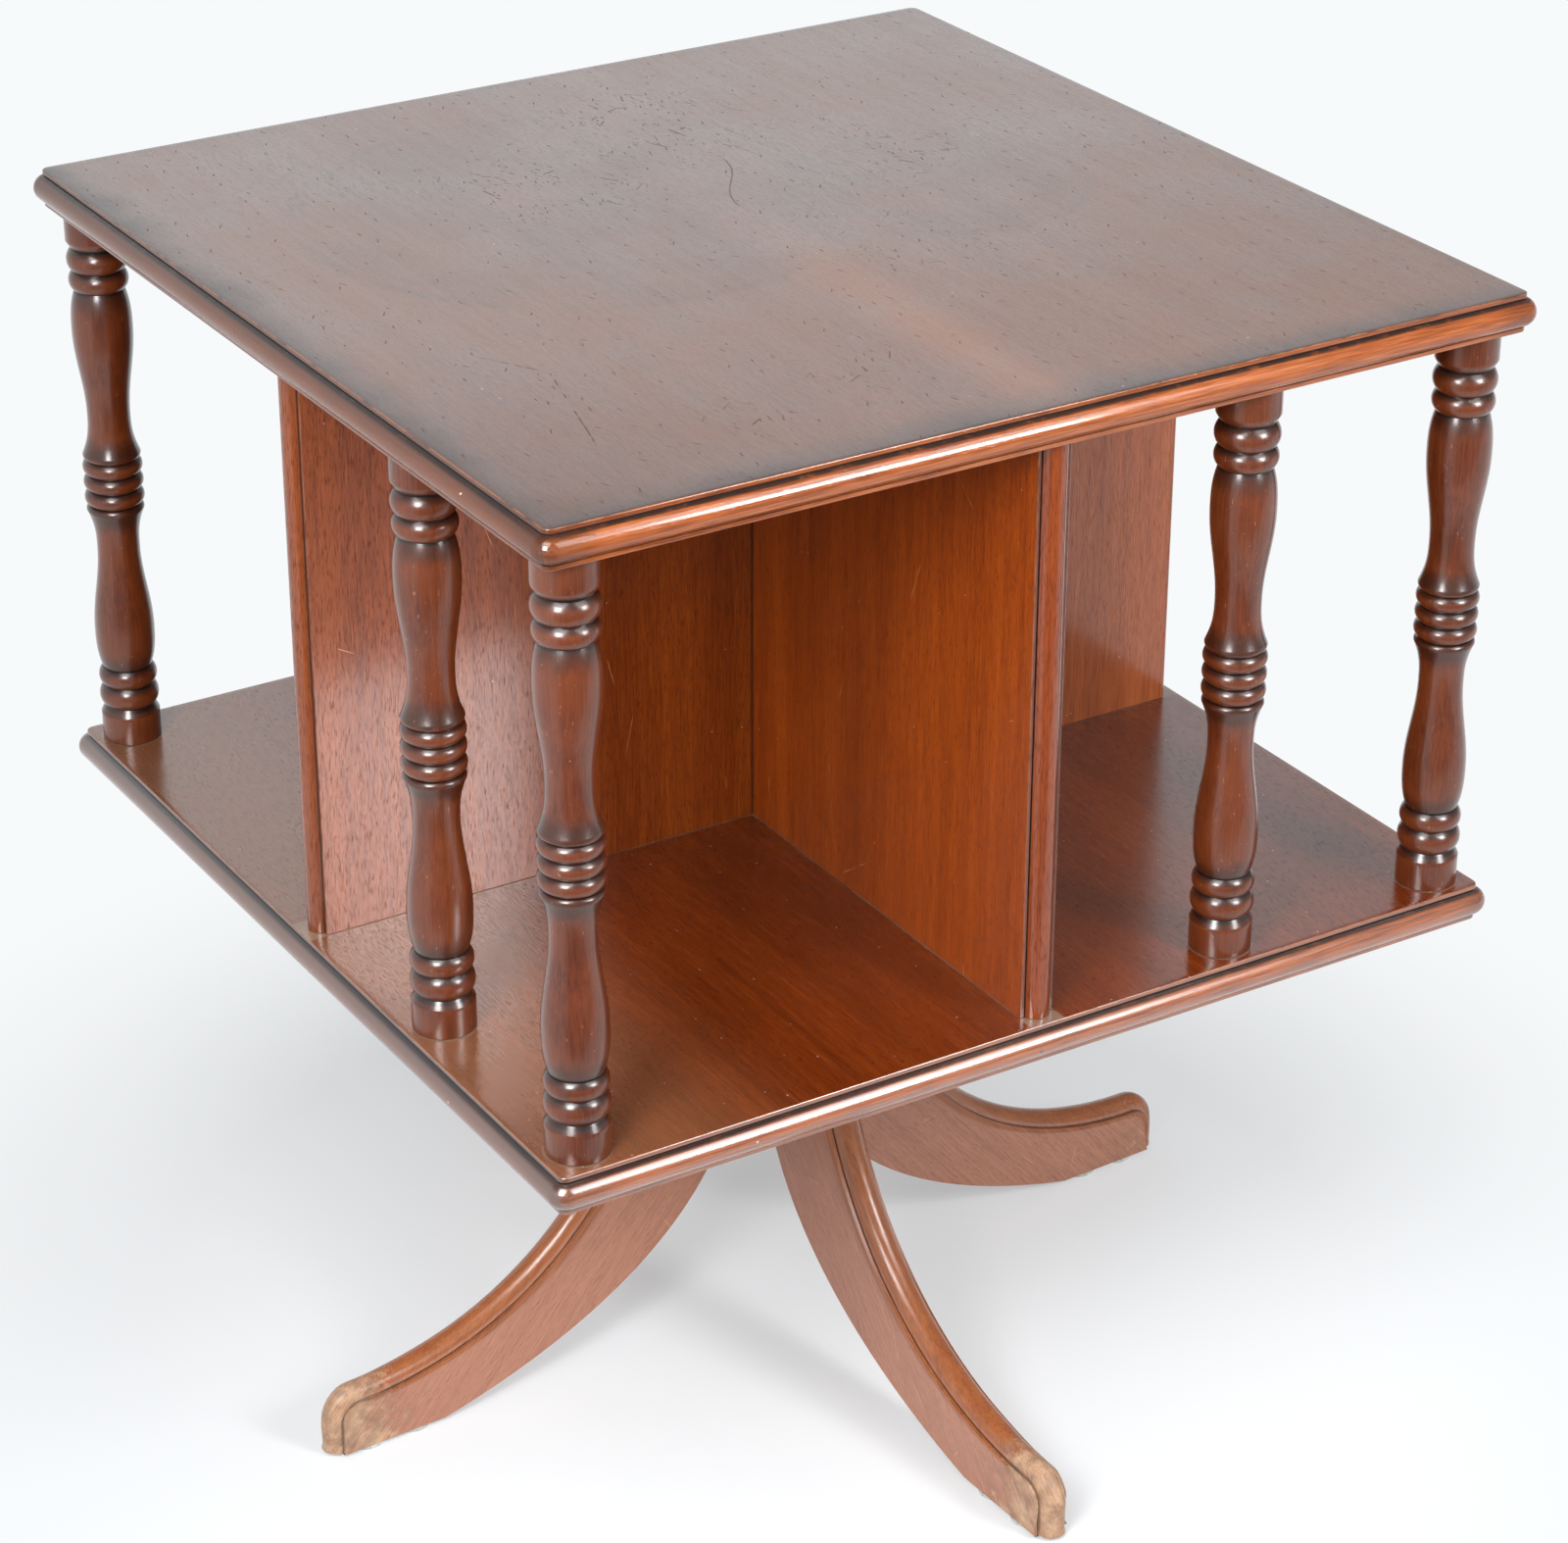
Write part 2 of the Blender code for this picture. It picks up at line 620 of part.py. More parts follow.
def countersinks(piece, face, into):
    """Opens a plate for its screws: a cone for the head, and a hole for the shank."""
    slope = (SCREW_HEAD_RADIUS - SCREW_SHANK_RADIUS) / SCREW_HEAD_HEIGHT
    wide = SCREW_HEAD_RADIUS + GAP + slope * CUT_PAST
    narrow = SCREW_SHANK_RADIUS + GAP
    outer = face - into * CUT_PAST
    waist = face + into * SCREW_HEAD_HEIGHT
    through = face + into * (PLATE_THICKNESS + CUT_PAST)
    profile = [(0, outer), (wide, outer), (narrow, waist), (narrow, through), (0, through)]
    for i, spot in enumerate(screw_places()):
        name = piece.name + "_countersink_" + str(i + 1)
        cut(piece, turned(name, downward(profile), SCREW_SIDES, CUTTERS), spot)


def wood_screws(name, pivot, face, into):
    """A plate's countersunk screws, their flat heads just under the plate's face."""
    head = face + into * GAP
    neck = head + into * SCREW_HEAD_HEIGHT
    tip = head + into * SCREW_LENGTH
    shoulder = tip - into * SCREW_SHANK_RADIUS
    profile = [(0, head), (SCREW_HEAD_RADIUS - GAP, head), (SCREW_SHANK_RADIUS, neck)]
    profile += [(SCREW_SHANK_RADIUS, shoulder), (0, tip)]
    for i, spot in enumerate(screw_places()):
        piece = turned(name + "_" + str(i + 1), downward(profile), SCREW_SIDES, PARTS)
        place(piece, pivot, spot)
        paint(piece, STEEL, 0.35, 1.0)


def flat_ring(name, inner, outer, bottom, top):
    profile = [(inner, top), (outer, top), (outer, bottom), (inner, bottom)]
    return turned(name, profile, HUB_SIDES, PARTS, closed=True)


def swivel_plate():
    """The plate under the shelf, in one with the stud that goes down through the hub."""
    profile = [(0, SWIVEL_PLATE_TOP), (PLATE_RADIUS, SWIVEL_PLATE_TOP)]
    profile += [(PLATE_RADIUS, SWIVEL_PLATE_BOTTOM), (STUD_RADIUS, SWIVEL_PLATE_BOTTOM)]
    profile += [(STUD_RADIUS, STUD_BOTTOM), (0, STUD_BOTTOM)]
    piece = place(turned("swivel_plate", profile, HUB_SIDES, PARTS), CASE)
    countersinks(piece, SWIVEL_PLATE_BOTTOM, 1)
    paint(piece, STEEL, 0.35, 1.0)
    wood_screws("shelf_screw", CASE, SWIVEL_PLATE_BOTTOM, 1)


def base_plate():
    """The plate on the hub that the washer slides on."""
    ring = flat_ring("base_plate", STUD_BORE_RADIUS, PLATE_RADIUS, BASE_PLATE_BOTTOM, BASE_PLATE_TOP)
    piece = place(ring, BASE)
    countersinks(piece, BASE_PLATE_TOP, -1)
    paint(piece, STEEL, 0.4, 1.0)
    wood_screws("hub_screw", BASE, BASE_PLATE_TOP, -1)


def thrust_washer():
    piece = flat_ring("thrust_washer", STUD_BORE_RADIUS, WASHER_RADIUS, FIBRE_BOTTOM, FIBRE_TOP)
    paint(place(piece, BASE), FIBRE, 0.8)


def stud_washer():
    bore = STUD_RADIUS + GAP
    piece = flat_ring("stud_washer", bore, NUT_WASHER_RADIUS, NUT_WASHER_BOTTOM, NUT_WASHER_TOP)
    paint(place(piece, CASE), STEEL, 0.35, 1.0)


def stud_nut():
    piece = mesh_piece("stud_nut", cylinder("stud_nut", NUT_RADIUS, NUT_BOTTOM, NUT_TOP, 6))
    place(piece, CASE)
    ends = (NUT_BOTTOM - CUT_PAST, NUT_TOP + CUT_PAST)
    cut(piece, cutter("nut_bore", cylinder("nut_bore", STUD_RADIUS + GAP, *ends, HUB_SIDES)))
    paint(piece, STEEL, 0.35, 1.0)


def glide(name, reach, yaw):
    piece = mesh_piece(name, cylinder(name, GLIDE_RADIUS, 0.0, GLIDE_THICKNESS))
    place(piece, BASE, turn_about_axis(reach, 0, yaw), yaw)
    paint(piece, CLEAR_GREY, 0.5)


def build_case():
    """The half that turns: boards, dividers, spindles and the swivel's upper plate."""
    top = board("top_board", TOP_UNDERSIDE)
    open_sockets(top, TOP_UNDERSIDE, 1)
    open_grooves(top, TOP_UNDERSIDE, 1)
    shelf = board("shelf_board", SHELF_BOTTOM)
    open_sockets(shelf, SHELF_TOP_HEIGHT, -1)
    open_grooves(shelf, SHELF_TOP_HEIGHT, -1)
    pilot_holes(shelf, SHELF_BOTTOM, 1)
    divider("divider_side_to_side", 0.0, True)
    divider("divider_front_to_back", math.pi / 2, False)
    for name, spot in spindle_places().items():
        spindle("spindle_" + name, spot)
    swivel_plate()
    stud_washer()
    stud_nut()


def build_base():
    """The half that stands: hub, legs, glides, and the swivel's lower plate and washer."""
    hub()
    base_plate()
    thrust_washer()
    sides = ("right", "back", "left", "front")
    outer = TOE_REACH - GLIDE_FROM_TOE
    for side, yaw in zip(sides, equal_turns(LEGS)):
        leg("leg_" + side, yaw)
        glide("glide_outer_" + side, outer, yaw)
        glide("glide_inner_" + side, outer - GLIDE_SPACING, yaw)


clear_scene()
PARTS = new_collection("revolving_book_table")
CUTTERS = new_collection("cutters")
CASE = new_pivot("case_pivot")
BASE = new_pivot("base_pivot", LEG_YAW)
build_case()
build_base()
for part in PARTS.objects:
    if part.type == "MESH":
        smooth(part)
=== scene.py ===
"""Looks of the revolving book table: finer meshes for the wooden pieces and the glides, procedural
wood, steel, fibre and clear plastic, a plain white studio, and the photograph's camera.
Metres, +Z up."""

import math

import bmesh
import bpy
import numpy as np
from mathutils import Matrix, Vector, noise


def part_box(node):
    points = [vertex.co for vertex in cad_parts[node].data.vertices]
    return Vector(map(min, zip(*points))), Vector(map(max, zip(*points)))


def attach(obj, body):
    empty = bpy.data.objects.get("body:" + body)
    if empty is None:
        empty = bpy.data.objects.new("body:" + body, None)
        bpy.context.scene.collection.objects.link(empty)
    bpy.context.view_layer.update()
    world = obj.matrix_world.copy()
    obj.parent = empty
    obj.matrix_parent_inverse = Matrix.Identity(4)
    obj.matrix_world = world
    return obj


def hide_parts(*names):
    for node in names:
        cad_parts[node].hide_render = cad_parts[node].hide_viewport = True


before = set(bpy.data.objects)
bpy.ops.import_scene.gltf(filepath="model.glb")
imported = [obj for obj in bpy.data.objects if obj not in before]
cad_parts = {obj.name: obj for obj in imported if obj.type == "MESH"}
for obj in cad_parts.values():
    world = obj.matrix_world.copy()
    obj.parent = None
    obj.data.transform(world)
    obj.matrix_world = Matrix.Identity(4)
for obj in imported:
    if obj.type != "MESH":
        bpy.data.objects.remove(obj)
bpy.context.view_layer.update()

MM = 0.001
MERGE_DISTANCE = 0.001 * MM
LEAST_LENGTH = 1e-12
SHARP_ANGLE = math.radians(38)
QUARTER_TURN = math.pi / 2

# The photograph's camera
CAMERA_PLACE = (-0.96947, -1.58803, 1.25860)
CAMERA_AZIMUTH = math.radians(-31.7904)
CAMERA_ELEVATION = math.radians(27.1737)
CAMERA_ROLL = math.radians(0.1552)
CAMERA_LENS = 98.04
SENSOR_WIDTH = 36.0
CAMERA_RIGHT = Vector((math.cos(CAMERA_AZIMUTH), math.sin(CAMERA_AZIMUTH), 0))
CAMERA_AHEAD = Vector((-math.sin(CAMERA_AZIMUTH), math.cos(CAMERA_AZIMUTH), 0))

# Studio: floor, backdrop, and a softbox and a smaller lamp on either hand
FLOOR_RADIUS = 30.0
FLOOR_FADE = (0.12, 0.60)
FLOOR_FRONT = 0.75
FLOOR_FRONT_FADE = (-0.55, -0.72)
FLOOR_COLOUR = (0.73, 0.75, 0.77, 1.0)
FLOOR_ROUGHNESS = 0.9
FLOOR_SPECULAR = 0.1
BACKDROP_COLOUR = (0.93, 0.95, 0.965, 1.0)
LEAST_WHITE = 0.37
SEEN_RAYS = ("Is Camera Ray", "Is Glossy Ray", "Is Transmission Ray")
BACKDROP_WAY = (-0.6, 0.8, 0.0)
BACKDROP_TURN = (-0.10, 0.50)
BACKDROP_TOP = (0.20, 0.75)
BACKDROP_STRENGTH = 1.35
ROOM_STRENGTH = 0.45
BEYOND_STRENGTH = 0.30
BEYOND_EDGE = (-0.15, 0.0)
CEILING_STRENGTH = 0.25
CEILING_EDGE = (0.1, 0.6)
SOFTBOX_AIM = (0.0, 0.0, 0.42)
SOFTBOX_SPREAD = math.radians(110)
SOFTBOXES = (
    ("softbox_right", (0.52, -1.30, 1.55), (0.95, 0.95), 4.4),
    ("softbox_left", (-0.95, -0.75, 1.70), (0.95, 0.95), 6.8),
    ("lamp_right", (0.52, -1.30, 0.98), (0.38, 0.45), 5.1),
    ("lamp_left", (-0.99, -0.78, 1.00), (0.38, 0.45), 6.2),
)

# Board edges: bead between two fillets, with a fine quirk cut in beside the bead
FILLET_HEIGHT = 2.8 * MM
FILLET_SETBACK = 4.9 * MM
FILLET_CORNER_RADIUS = 4.1 * MM
LEAST_CORNER_RADIUS = 1 * MM
BOARD_ARRIS = 0.5 * MM
BOARD_RIM = 3.0 * MM
QUIRK_DEPTH = 0.8 * MM
QUIRK_WIDTH = 0.7 * MM
ARRIS_STEPS = 4
CORNER_STEPS = 10
BEAD_STEPS = 18
LEVEL_FACE = 0.99
LIPPING_SHIFT = 0.19

# Dividers
DIVIDER_FILLET_WIDTH = 2.2 * MM
PANEL_BEAD_PROUD = 4.9 * MM
DIVIDER_ARRIS = 0.3 * MM

# Spindles
COLLAR_RADIUS = 14.6 * MM
COLLAR_LENGTH = 14.2 * MM
COLLAR_CHAMFER = 4.1 * MM
COLLAR_ARRIS = 0.6 * MM
COLLAR_STATIONS = (0.3, 0.6, 0.9, 1.0)
LARGE_RING = (11.4 * MM, 14.8 * MM)
SMALL_RING = (9.7 * MM, 14.5 * MM)
GROOVE_RADIUS = 12.3 * MM
NECK_RADIUS = 12.1 * MM
NECK_FULLNESS = 2.8
BELLY_RADIUS = 14.8 * MM
BELLY_DISTANCE = 20.7 * MM
WAIST_RADIUS = 10.5 * MM
LIP_RADIUS = 14.2 * MM
LIP_WIDTH = 2.4 * MM
FLARE_LENGTH = 21.3 * MM
FLARE_EASE = 1.5
MIDDLE_RING = (8.1 * MM, 14.7 * MM)
SPINDLE_SIDES = 44
RING_STEPS = 12
CURVE_STEPS = 18
SPINDLE_GRAIN_TURN = 1.7

# Legs
LEG_YAW = math.radians(2.5)
LEG_THICKNESS = 19 * MM
LEG_HALF = LEG_THICKNESS / 2
LEG_BEAD_RADIUS = 7.2 * MM
LEG_TOP_REACH = 58 * MM
LEG_TOP_PULL = 140 * MM
TOE_REACH = 251 * MM
TOE_HEIGHT = 27.5 * MM
TOE_ROUND = 11 * MM
TOE_PULL = 93 * MM
SOLE_LENGTH = 57 * MM
SOLE_PULL = 83.6 * MM
HEEL_PULL = 58.9 * MM
HEEL_SLOPE = math.radians(67.6)
SOLE_SLOPE = math.radians(12.7)
LEG_QUIRK_DEPTH = 0.9 * MM
LEG_STEPS = 56
TOE_STEPS = 14
LEG_SIDE_STEPS = 8
LEG_UNDER_STEPS = 6
TOE_WEAR_LENGTH = 52 * MM
TOE_SIDE_WEAR = 64 * MM
TOE_WEAR_DEPTH = 1.1 * MM
TOE_WEAR = {"front": 1.0, "left": 0.9, "back": 0.7, "right": 0.4}
TOE_SCUFF_SIZE = 7 * MM
TOE_SCUFF_SHIFT = 11.0
QUIRK_LOSS = 0.3
LEG_GRAIN_SLOPE = math.radians(-49)

# Hub and glides
PLATFORM_ROUND = 6 * MM
PLATFORM_ARRIS = 1 * MM
HUB_BOTTOM_ROUND = 4 * MM
COLUMN_RADIUS = 28.5 * MM
PLATFORM_THICKNESS = 20 * MM
STUD_BORE_RADIUS = 6.4 * MM
HUB_SIDES = 72
HUB_ROUND_STEPS = (8, 6)
SEAT_GAP = 0.3 * MM
GLIDE_SIDES = 40
GLIDE_LUMP = 0.5 * MM
GLIDE_LUMPINESS = 1.6
GLIDE_LUMP_SHIFT = 5.0
GLIDE_FACE_SHARES = (0.0, 0.5, 0.85)
GLIDE_RIM_TURN = 80
GLIDE_RIM_STEPS = 10

# Reach over which an outline is compared with its surroundings to find crests and hollows, and how far
# an outline is carried on past its ends for that
RELIEF_REACH = 2.5 * MM
RELIEF_LEAD = 4 * RELIEF_REACH

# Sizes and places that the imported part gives
TOP_LOW, TOP_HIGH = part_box("top_board")
SHELF_LOW, SHELF_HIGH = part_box("shelf_board")
DIVIDER_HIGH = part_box("divider_side_to_side")[1]
HUB_LOW, HUB_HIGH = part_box("hub")
GLIDE_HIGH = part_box("glide_outer_right")[1]
BOARD_HALF = TOP_HIGH.x
PANEL_REACH = DIVIDER_HIGH.x
PANEL_HALF = DIVIDER_HIGH.y
CLEAR_LOW = SHELF_HIGH.z
CLEAR_HIGH = TOP_LOW.z
CLEAR_GAP = 0.3 * MM
LEG_TOP = HUB_HIGH.z - PLATFORM_THICKNESS - SEAT_GAP
LEG_SEAT_RADIUS = COLUMN_RADIUS + SEAT_GAP
SOLE_HEIGHT = GLIDE_HIGH.z + SEAT_GAP
SIDES = ("right", "back", "left", "front")
STEEL_NODES = ("swivel_plate", "base_plate", "stud_washer", "stud_nut")
SPINDLES = [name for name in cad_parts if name.startswith("spindle_")]

# A place in the wood for each piece, and the numbers of the first of its kind
GRAIN_STEP = np.array([0.37, 0.61, 0.83])
DIVIDER_NUMBER = 2
SPINDLE_NUMBER = 4
LEG_NUMBER = 12
HUB_NUMBER = 90

# Wood features, as sizes across and along the grain
FIGURE_SIZE = (26 * MM, 600 * MM)
STREAK_SIZE = (5.0 * MM, 160 * MM)
FIBRE_SIZE = (0.9 * MM, 22 * MM)
PORE_SIZE = (0.4 * MM, 5 * MM)
GRAIN_DISTORTION = 0.3
WOOD_PATCH_SIZE = 60 * MM
PORE_LEVELS = (0.55, 0.66)
HOLLOW_LEVELS = (-0.03, -0.14)
CREST_LEVELS = (0.16, 0.36)

# Each wood's dark, middle and light tone, and where they lie on the ramp
TONE_PLACES = (0.25, 0.5, 0.78)
TOP_TONES = (0.064, 0.019, 0.008), (0.106, 0.034, 0.015), (0.158, 0.054, 0.023)
SHELF_TONES = (0.065, 0.009, 0.0005), (0.120, 0.018, 0.001), (0.180, 0.032, 0.003)
SPINDLE_TONES = (0.046, 0.008, 0.002), (0.088, 0.017, 0.004), (0.130, 0.030, 0.007)
LEG_TONES = (0.28, 0.112, 0.066), (0.37, 0.158, 0.095), (0.44, 0.198, 0.120)
DIVIDER_TONES = {
    "side_to_side": ((0.121, 0.0193, 0.0006), (0.199, 0.036, 0.0018), (0.270, 0.056, 0.004)),
    "front_to_back": ((0.136, 0.0190, 0.0005), (0.224, 0.036, 0.0010), (0.302, 0.056, 0.003)),
}

# Ramps from a value to a colour
LIPPING_RAMP = ((0.25, (0.12, 0.026, 0.005)), (0.5, (0.26, 0.062, 0.012)), (0.76, (0.38, 0.11, 0.026)))
# Painted light: the paler colour laid over a divider's +X half
PAINTED_LIGHT_HALF_RAMP = ((0.25, (0.25, 0.056, 0.014)), (0.75, (0.52, 0.140, 0.040)))
LEG_BEAD_RAMP = ((0.25, (0.17, 0.046, 0.014)), (0.75, (0.36, 0.115, 0.036)))
BARE_RAMP = ((0.25, (0.20, 0.108, 0.064)), (0.5, (0.40, 0.235, 0.140)), (0.75, (0.54, 0.355, 0.215)))
STEEL_RAMP = ((0.3, (0.34, 0.34, 0.35)), (0.7, (0.52, 0.52, 0.53)))
FIBRE_RAMP = ((0.3, (0.07, 0.032, 0.022)), (0.7, (0.17, 0.085, 0.055)))
GLIDE_RAMP = ((0.3, (0.42, 0.45, 0.40)), (0.7, (0.66, 0.69, 0.64)))

# Coats over the wood: how far they cover it, their colour, and a roughness and a height of their own
UNDERSIDE = (1.0, (0.17, 0.052, 0.018), 0.5)
DARK_STRIP = (0.85, (0.10, 0.030, 0.012))
HANDLED = (1.0, (0.020, 0.009, 0.007))
FILLET_COLOUR = (0.055, 0.015, 0.006)
UPPER_FILLET = (0.35, FILLET_COLOUR)
CORNER_PATINA = (0.75, FILLET_COLOUR)
BOARD_GRIME = (1.0, (0.010, 0.005, 0.004), 0.6)
LEDGE_GRIME = (1.0, (0.010, 0.005, 0.004), 0.3)
# Paler arrises and crests: part worn finish, part painted highlight
BOARD_RUB_AND_HIGHLIGHT = (0.75, (0.42, 0.15, 0.06))
CHIP = (1.0, (0.60, 0.42, 0.30), 0.6, -0.5)
KNOCK = (1.0, (0.06, 0.016, 0.006), 0.5, -0.5)
TOP_CLOUD = (0.6, (0.160, 0.062, 0.030))
TOP_STAIN = (1.0, (0.050, 0.024, 0.020))
TOP_STREAK = (0.36, (0.28, 0.095, 0.034))
TOP_BORDER = (0.9, (0.020, 0.013, 0.013))
TOP_SMOKE = (0.4, (0.045, 0.017, 0.009))
TOP_MARK = (0.7, (0.060, 0.017, 0.009), 0.6, -0.3)
TOP_SPECK = (0.7, (0.55, 0.45, 0.40))
SHELF_PALER_LEFT = (0.35, (0.28, 0.15, 0.08))
SHELF_DUST = (0.55, (0.26, 0.19, 0.14), 0.8)
SHELF_SPECK = (0.6, (0.5, 0.4, 0.33), 0.7)
DIVIDER_BEAD = (0.25, FILLET_COLOUR, 0.2)
DIVIDER_SCRATCH = (0.6, (0.58, 0.27, 0.11), 0.5, -0.3)
DIVIDER_SPECK = (0.5, (0.62, 0.36, 0.20), 0.5)
DIVIDER_DIRT = (0.65, (0.030, 0.010, 0.005), 0.5)
DIVIDER_GRIME = (1.0, (0.012, 0.005, 0.003), 0.6)
# Paler arrises and crests: part worn finish, part painted highlight
DIVIDER_RUB_AND_HIGHLIGHT = (0.7, (0.46, 0.18, 0.085))
SPINDLE_RUBBED = (0.4, (0.15, 0.034, 0.008))
SPINDLE_PATINA = (0.65, (0.014, 0.005, 0.003))
# Darkening of the spindles' upward faces: partly built-up polish, partly painted shade
SPINDLE_UPWARD_SHADE_AND_POLISH = (0.75, (0.010, 0.0035, 0.0025))
SPINDLE_SCUFF = (0.35, (0.40, 0.20, 0.11), 0.4)
SPINDLE_GRIME = (1.0, (0.005, 0.002, 0.0015), 0.6)
# Paler arrises and crests: part worn finish, part painted highlight
SPINDLE_RUB_AND_HIGHLIGHT = (0.45, (0.26, 0.085, 0.036))
LEG_DIRT = (0.45, (0.15, 0.095, 0.065), 0.8)
LEG_SCRATCH = (0.5, (0.62, 0.36, 0.25), 0.6, -0.3)
LEG_GRIME = (1.0, (0.024, 0.015, 0.012), 0.6)
# Paler arrises and crests: part worn finish, part painted highlight
LEG_RUB_AND_HIGHLIGHT = (0.6, (0.50, 0.24, 0.13))
STEEL_SPOT = (0.7, (0.16, 0.12, 0.10), 0.6)

# Patches of noise: their size, their detail, and the levels between which they come in
GRIME_PATCHES = (9 * MM, 3.0, 0.3, 0.6)
LEDGE_PATCHES = (7 * MM, 3.0, 0.25, 0.5)
CLUSTER_PATCHES = (30 * MM, 2.0, 0.38, 0.55)
BROKEN_PATCHES = (5 * MM, 3.0, 0.40, 0.52)
CLOUD_PATCHES = (90 * MM, 3.0, 0.35, 0.65)
SCRATCH_PATCHES = (12 * MM, 2.0, 0.35, 0.65)
RUBBED_PATCHES = (30 * MM, 2.0, 0.35, 0.65)
SCUFF_PATCHES = ((1.2 * MM, 1.2 * MM, 3.5 * MM), 2.0, 0.70, 0.76)
TOE_DIRT_PATCHES = (7 * MM, 4.0, 0.40, 0.70)
STEEL_PATCHES = (7 * MM, 4.0, 0.52, 0.68)

# Short marks strewn over a flat place: one to a cell in a share of the cells, with the longest length,
# the width, the largest turn in radians, and a shift that sets one kind apart from another
EDGE_CHIPS = (40 * MM, 1.1 * MM, 0.7 * MM, 1.2, 0.12)
EDGE_KNOCKS = (30 * MM, 3 * MM, 0.5 * MM, 0.5, 0.3, (0.3, 0.2, 0.0))
FINE_FLECKS = (7 * MM, 2.6 * MM, 0.5 * MM, 0.5, 0.75)
COARSE_FLECKS = (15 * MM, 7 * MM, 0.6 * MM, 1.3, 0.6, (0.3, 0.1, 0.0))
STREWN_FLECKS = (14 * MM, 2.8 * MM, 0.45 * MM, 0.6, 0.5, (0.7, 0.4, 0.0))
TOP_SPECKS = (45 * MM, 0.7 * MM, 0.5 * MM, 1.5, 0.2, (0.2, 0.9, 0.0))
SHELF_SPECKS = (24 * MM, 0.7 * MM, 0.5 * MM, 1.5, 0.35)
DIVIDER_SCRATCHES = (60 * MM, 14 * MM, 0.3 * MM, 1.5, 0.4)
DIVIDER_SPECKS = (26 * MM, 0.7 * MM, 0.4 * MM, 1.5, 0.3, (0.4, 0.2, 0.0))
LEG_SCRATCHES = (26 * MM, 9 * MM, 0.3 * MM, 1.5, 0.5)

# Marks on the top, placed in plan
TOP_CLUSTERS = (
    ((0.030, 0.152), 0.085),
    ((-0.125, -0.195), 0.032),
    ((-0.052, -0.163), 0.040),
    ((0.055, -0.045), 0.060),
    ((-0.060, 0.100), 0.080),
    ((0.110, 0.060), 0.060),
)
TOP_RINGS = (((-0.058, 0.068), 0.130), ((0.105, 0.010), 0.070))
TOP_LONG_MARKS = (((-0.168, -0.106), (-0.190, -0.186)), ((-0.185, -0.075), (-0.168, -0.106)))
LONG_MARK_WIDTH = 0.5 * MM
CURVED_MARK = ((0.0222, 0.0610), 0.43, 3.0 * MM, 34 * MM)
STREAK_HALF_WIDTH = 27 * MM
STREAK_FADE = (90 * MM, -150 * MM)
SMOKE_REACH = 210 * MM
FAR_BORDER_LESS = 14 * MM


def smooth_share(value, start, end):
    """0 before start, 1 after end, and an even S curve between them."""
    share = np.clip((np.asarray(value, float) - start) / (end - start), 0.0, 1.0)
    return share * share * (3.0 - 2.0 * share)


def relief_along(outline):
    """How proud each point of an outline stands of its surroundings: above 0 on crests and arrises,
    below 0 in quirks. The outline runs with its outer side on the left."""
    points = np.asarray(outline, float)
    steps = np.linalg.norm(np.diff(points, axis=0), axis=1)
    place = np.concatenate([[0.0], np.cumsum(steps)])
    share = np.gradient(place) + MERGE_DISTANCE
    weight = np.exp(-(((place[:, None] - place[None, :]) / RELIEF_REACH) ** 2)) * share[None, :]
    mean = weight @ points / weight.sum(axis=1, keepdims=True)
    along = np.gradient(points, axis=0)
    normal = np.stack([-along[:, 1], along[:, 0]], axis=1)
    normal /= np.linalg.norm(normal, axis=1, keepdims=True) + LEAST_LENGTH
    return ((points - mean) * normal).sum(axis=1) / RELIEF_REACH


def arc(centre, radius, start, end, steps):
    """Points on an arc between two angles in degrees."""
    points = []
    for i in range(steps + 1):
        a = math.radians(start + (end - start) * i / steps)
        points.append((centre[0] + radius * math.cos(a), centre[1] + radius * math.sin(a)))
    return points


def circle(radius, height, sides, centre=Vector((0, 0, 0))):
    turns = [2 * math.pi * i / sides for i in range(sides)]
    return [(centre.x + radius * math.cos(a), centre.y + radius * math.sin(a), height) for a in turns]


def bead_points(half, reach, steps=BEAD_STEPS):
    """A bead from top to bottom, as (out, up) points; half is half its height, reach its depth."""
    radius = (half**2 + reach**2) / (2 * reach)
    sweep = math.degrees(math.acos((radius - reach) / radius))
    return arc((reach - radius, 0.0), radius, sweep, -sweep, steps)


def bezier(points, steps):
    """Points along a cubic curve, without its first point."""
    a, b, c, d = (Vector(p) for p in points)
    curve = []
    for i in range(1, steps + 1):
        t = i / steps
        s = 1 - t
        curve.append(a * s**3 + b * 3 * s * s * t + c * 3 * s * t * t + d * t**3)
    return curve


def skin(name, rings, layers, caps=True):
    """A mesh through rings of matching points. A layer has a number for each ring or for each point."""
    shape = bmesh.new()
    stores = {key: shape.verts.layers.float.new(key) for key in layers}
    loops = []
    for r, ring in enumerate(rings):
        loop = [shape.verts.new(point) for point in ring]
        for key, store in stores.items():
            for vert, value in zip(loop, np.broadcast_to(layers[key][r], len(loop))):
                vert[store] = value
        loops.append(loop)
    count = len(loops[0])
    for low, high in zip(loops, loops[1:]):
        for i in range(count):
            j = (i + 1) % count
            shape.faces.new((low[i], low[j], high[j], high[i]))
    if caps:
        shape.faces.new(list(reversed(loops[0])))
        shape.faces.new(loops[-1])
    bmesh.ops.remove_doubles(shape, verts=shape.verts, dist=MERGE_DISTANCE)
    bmesh.ops.recalc_face_normals(shape, faces=shape.faces)
    mesh = bpy.data.meshes.new(name)
    shape.to_mesh(mesh)
    shape.free()
    mesh.shade_smooth()
    mesh.set_sharp_from_angle(angle=SHARP_ANGLE)
    return mesh


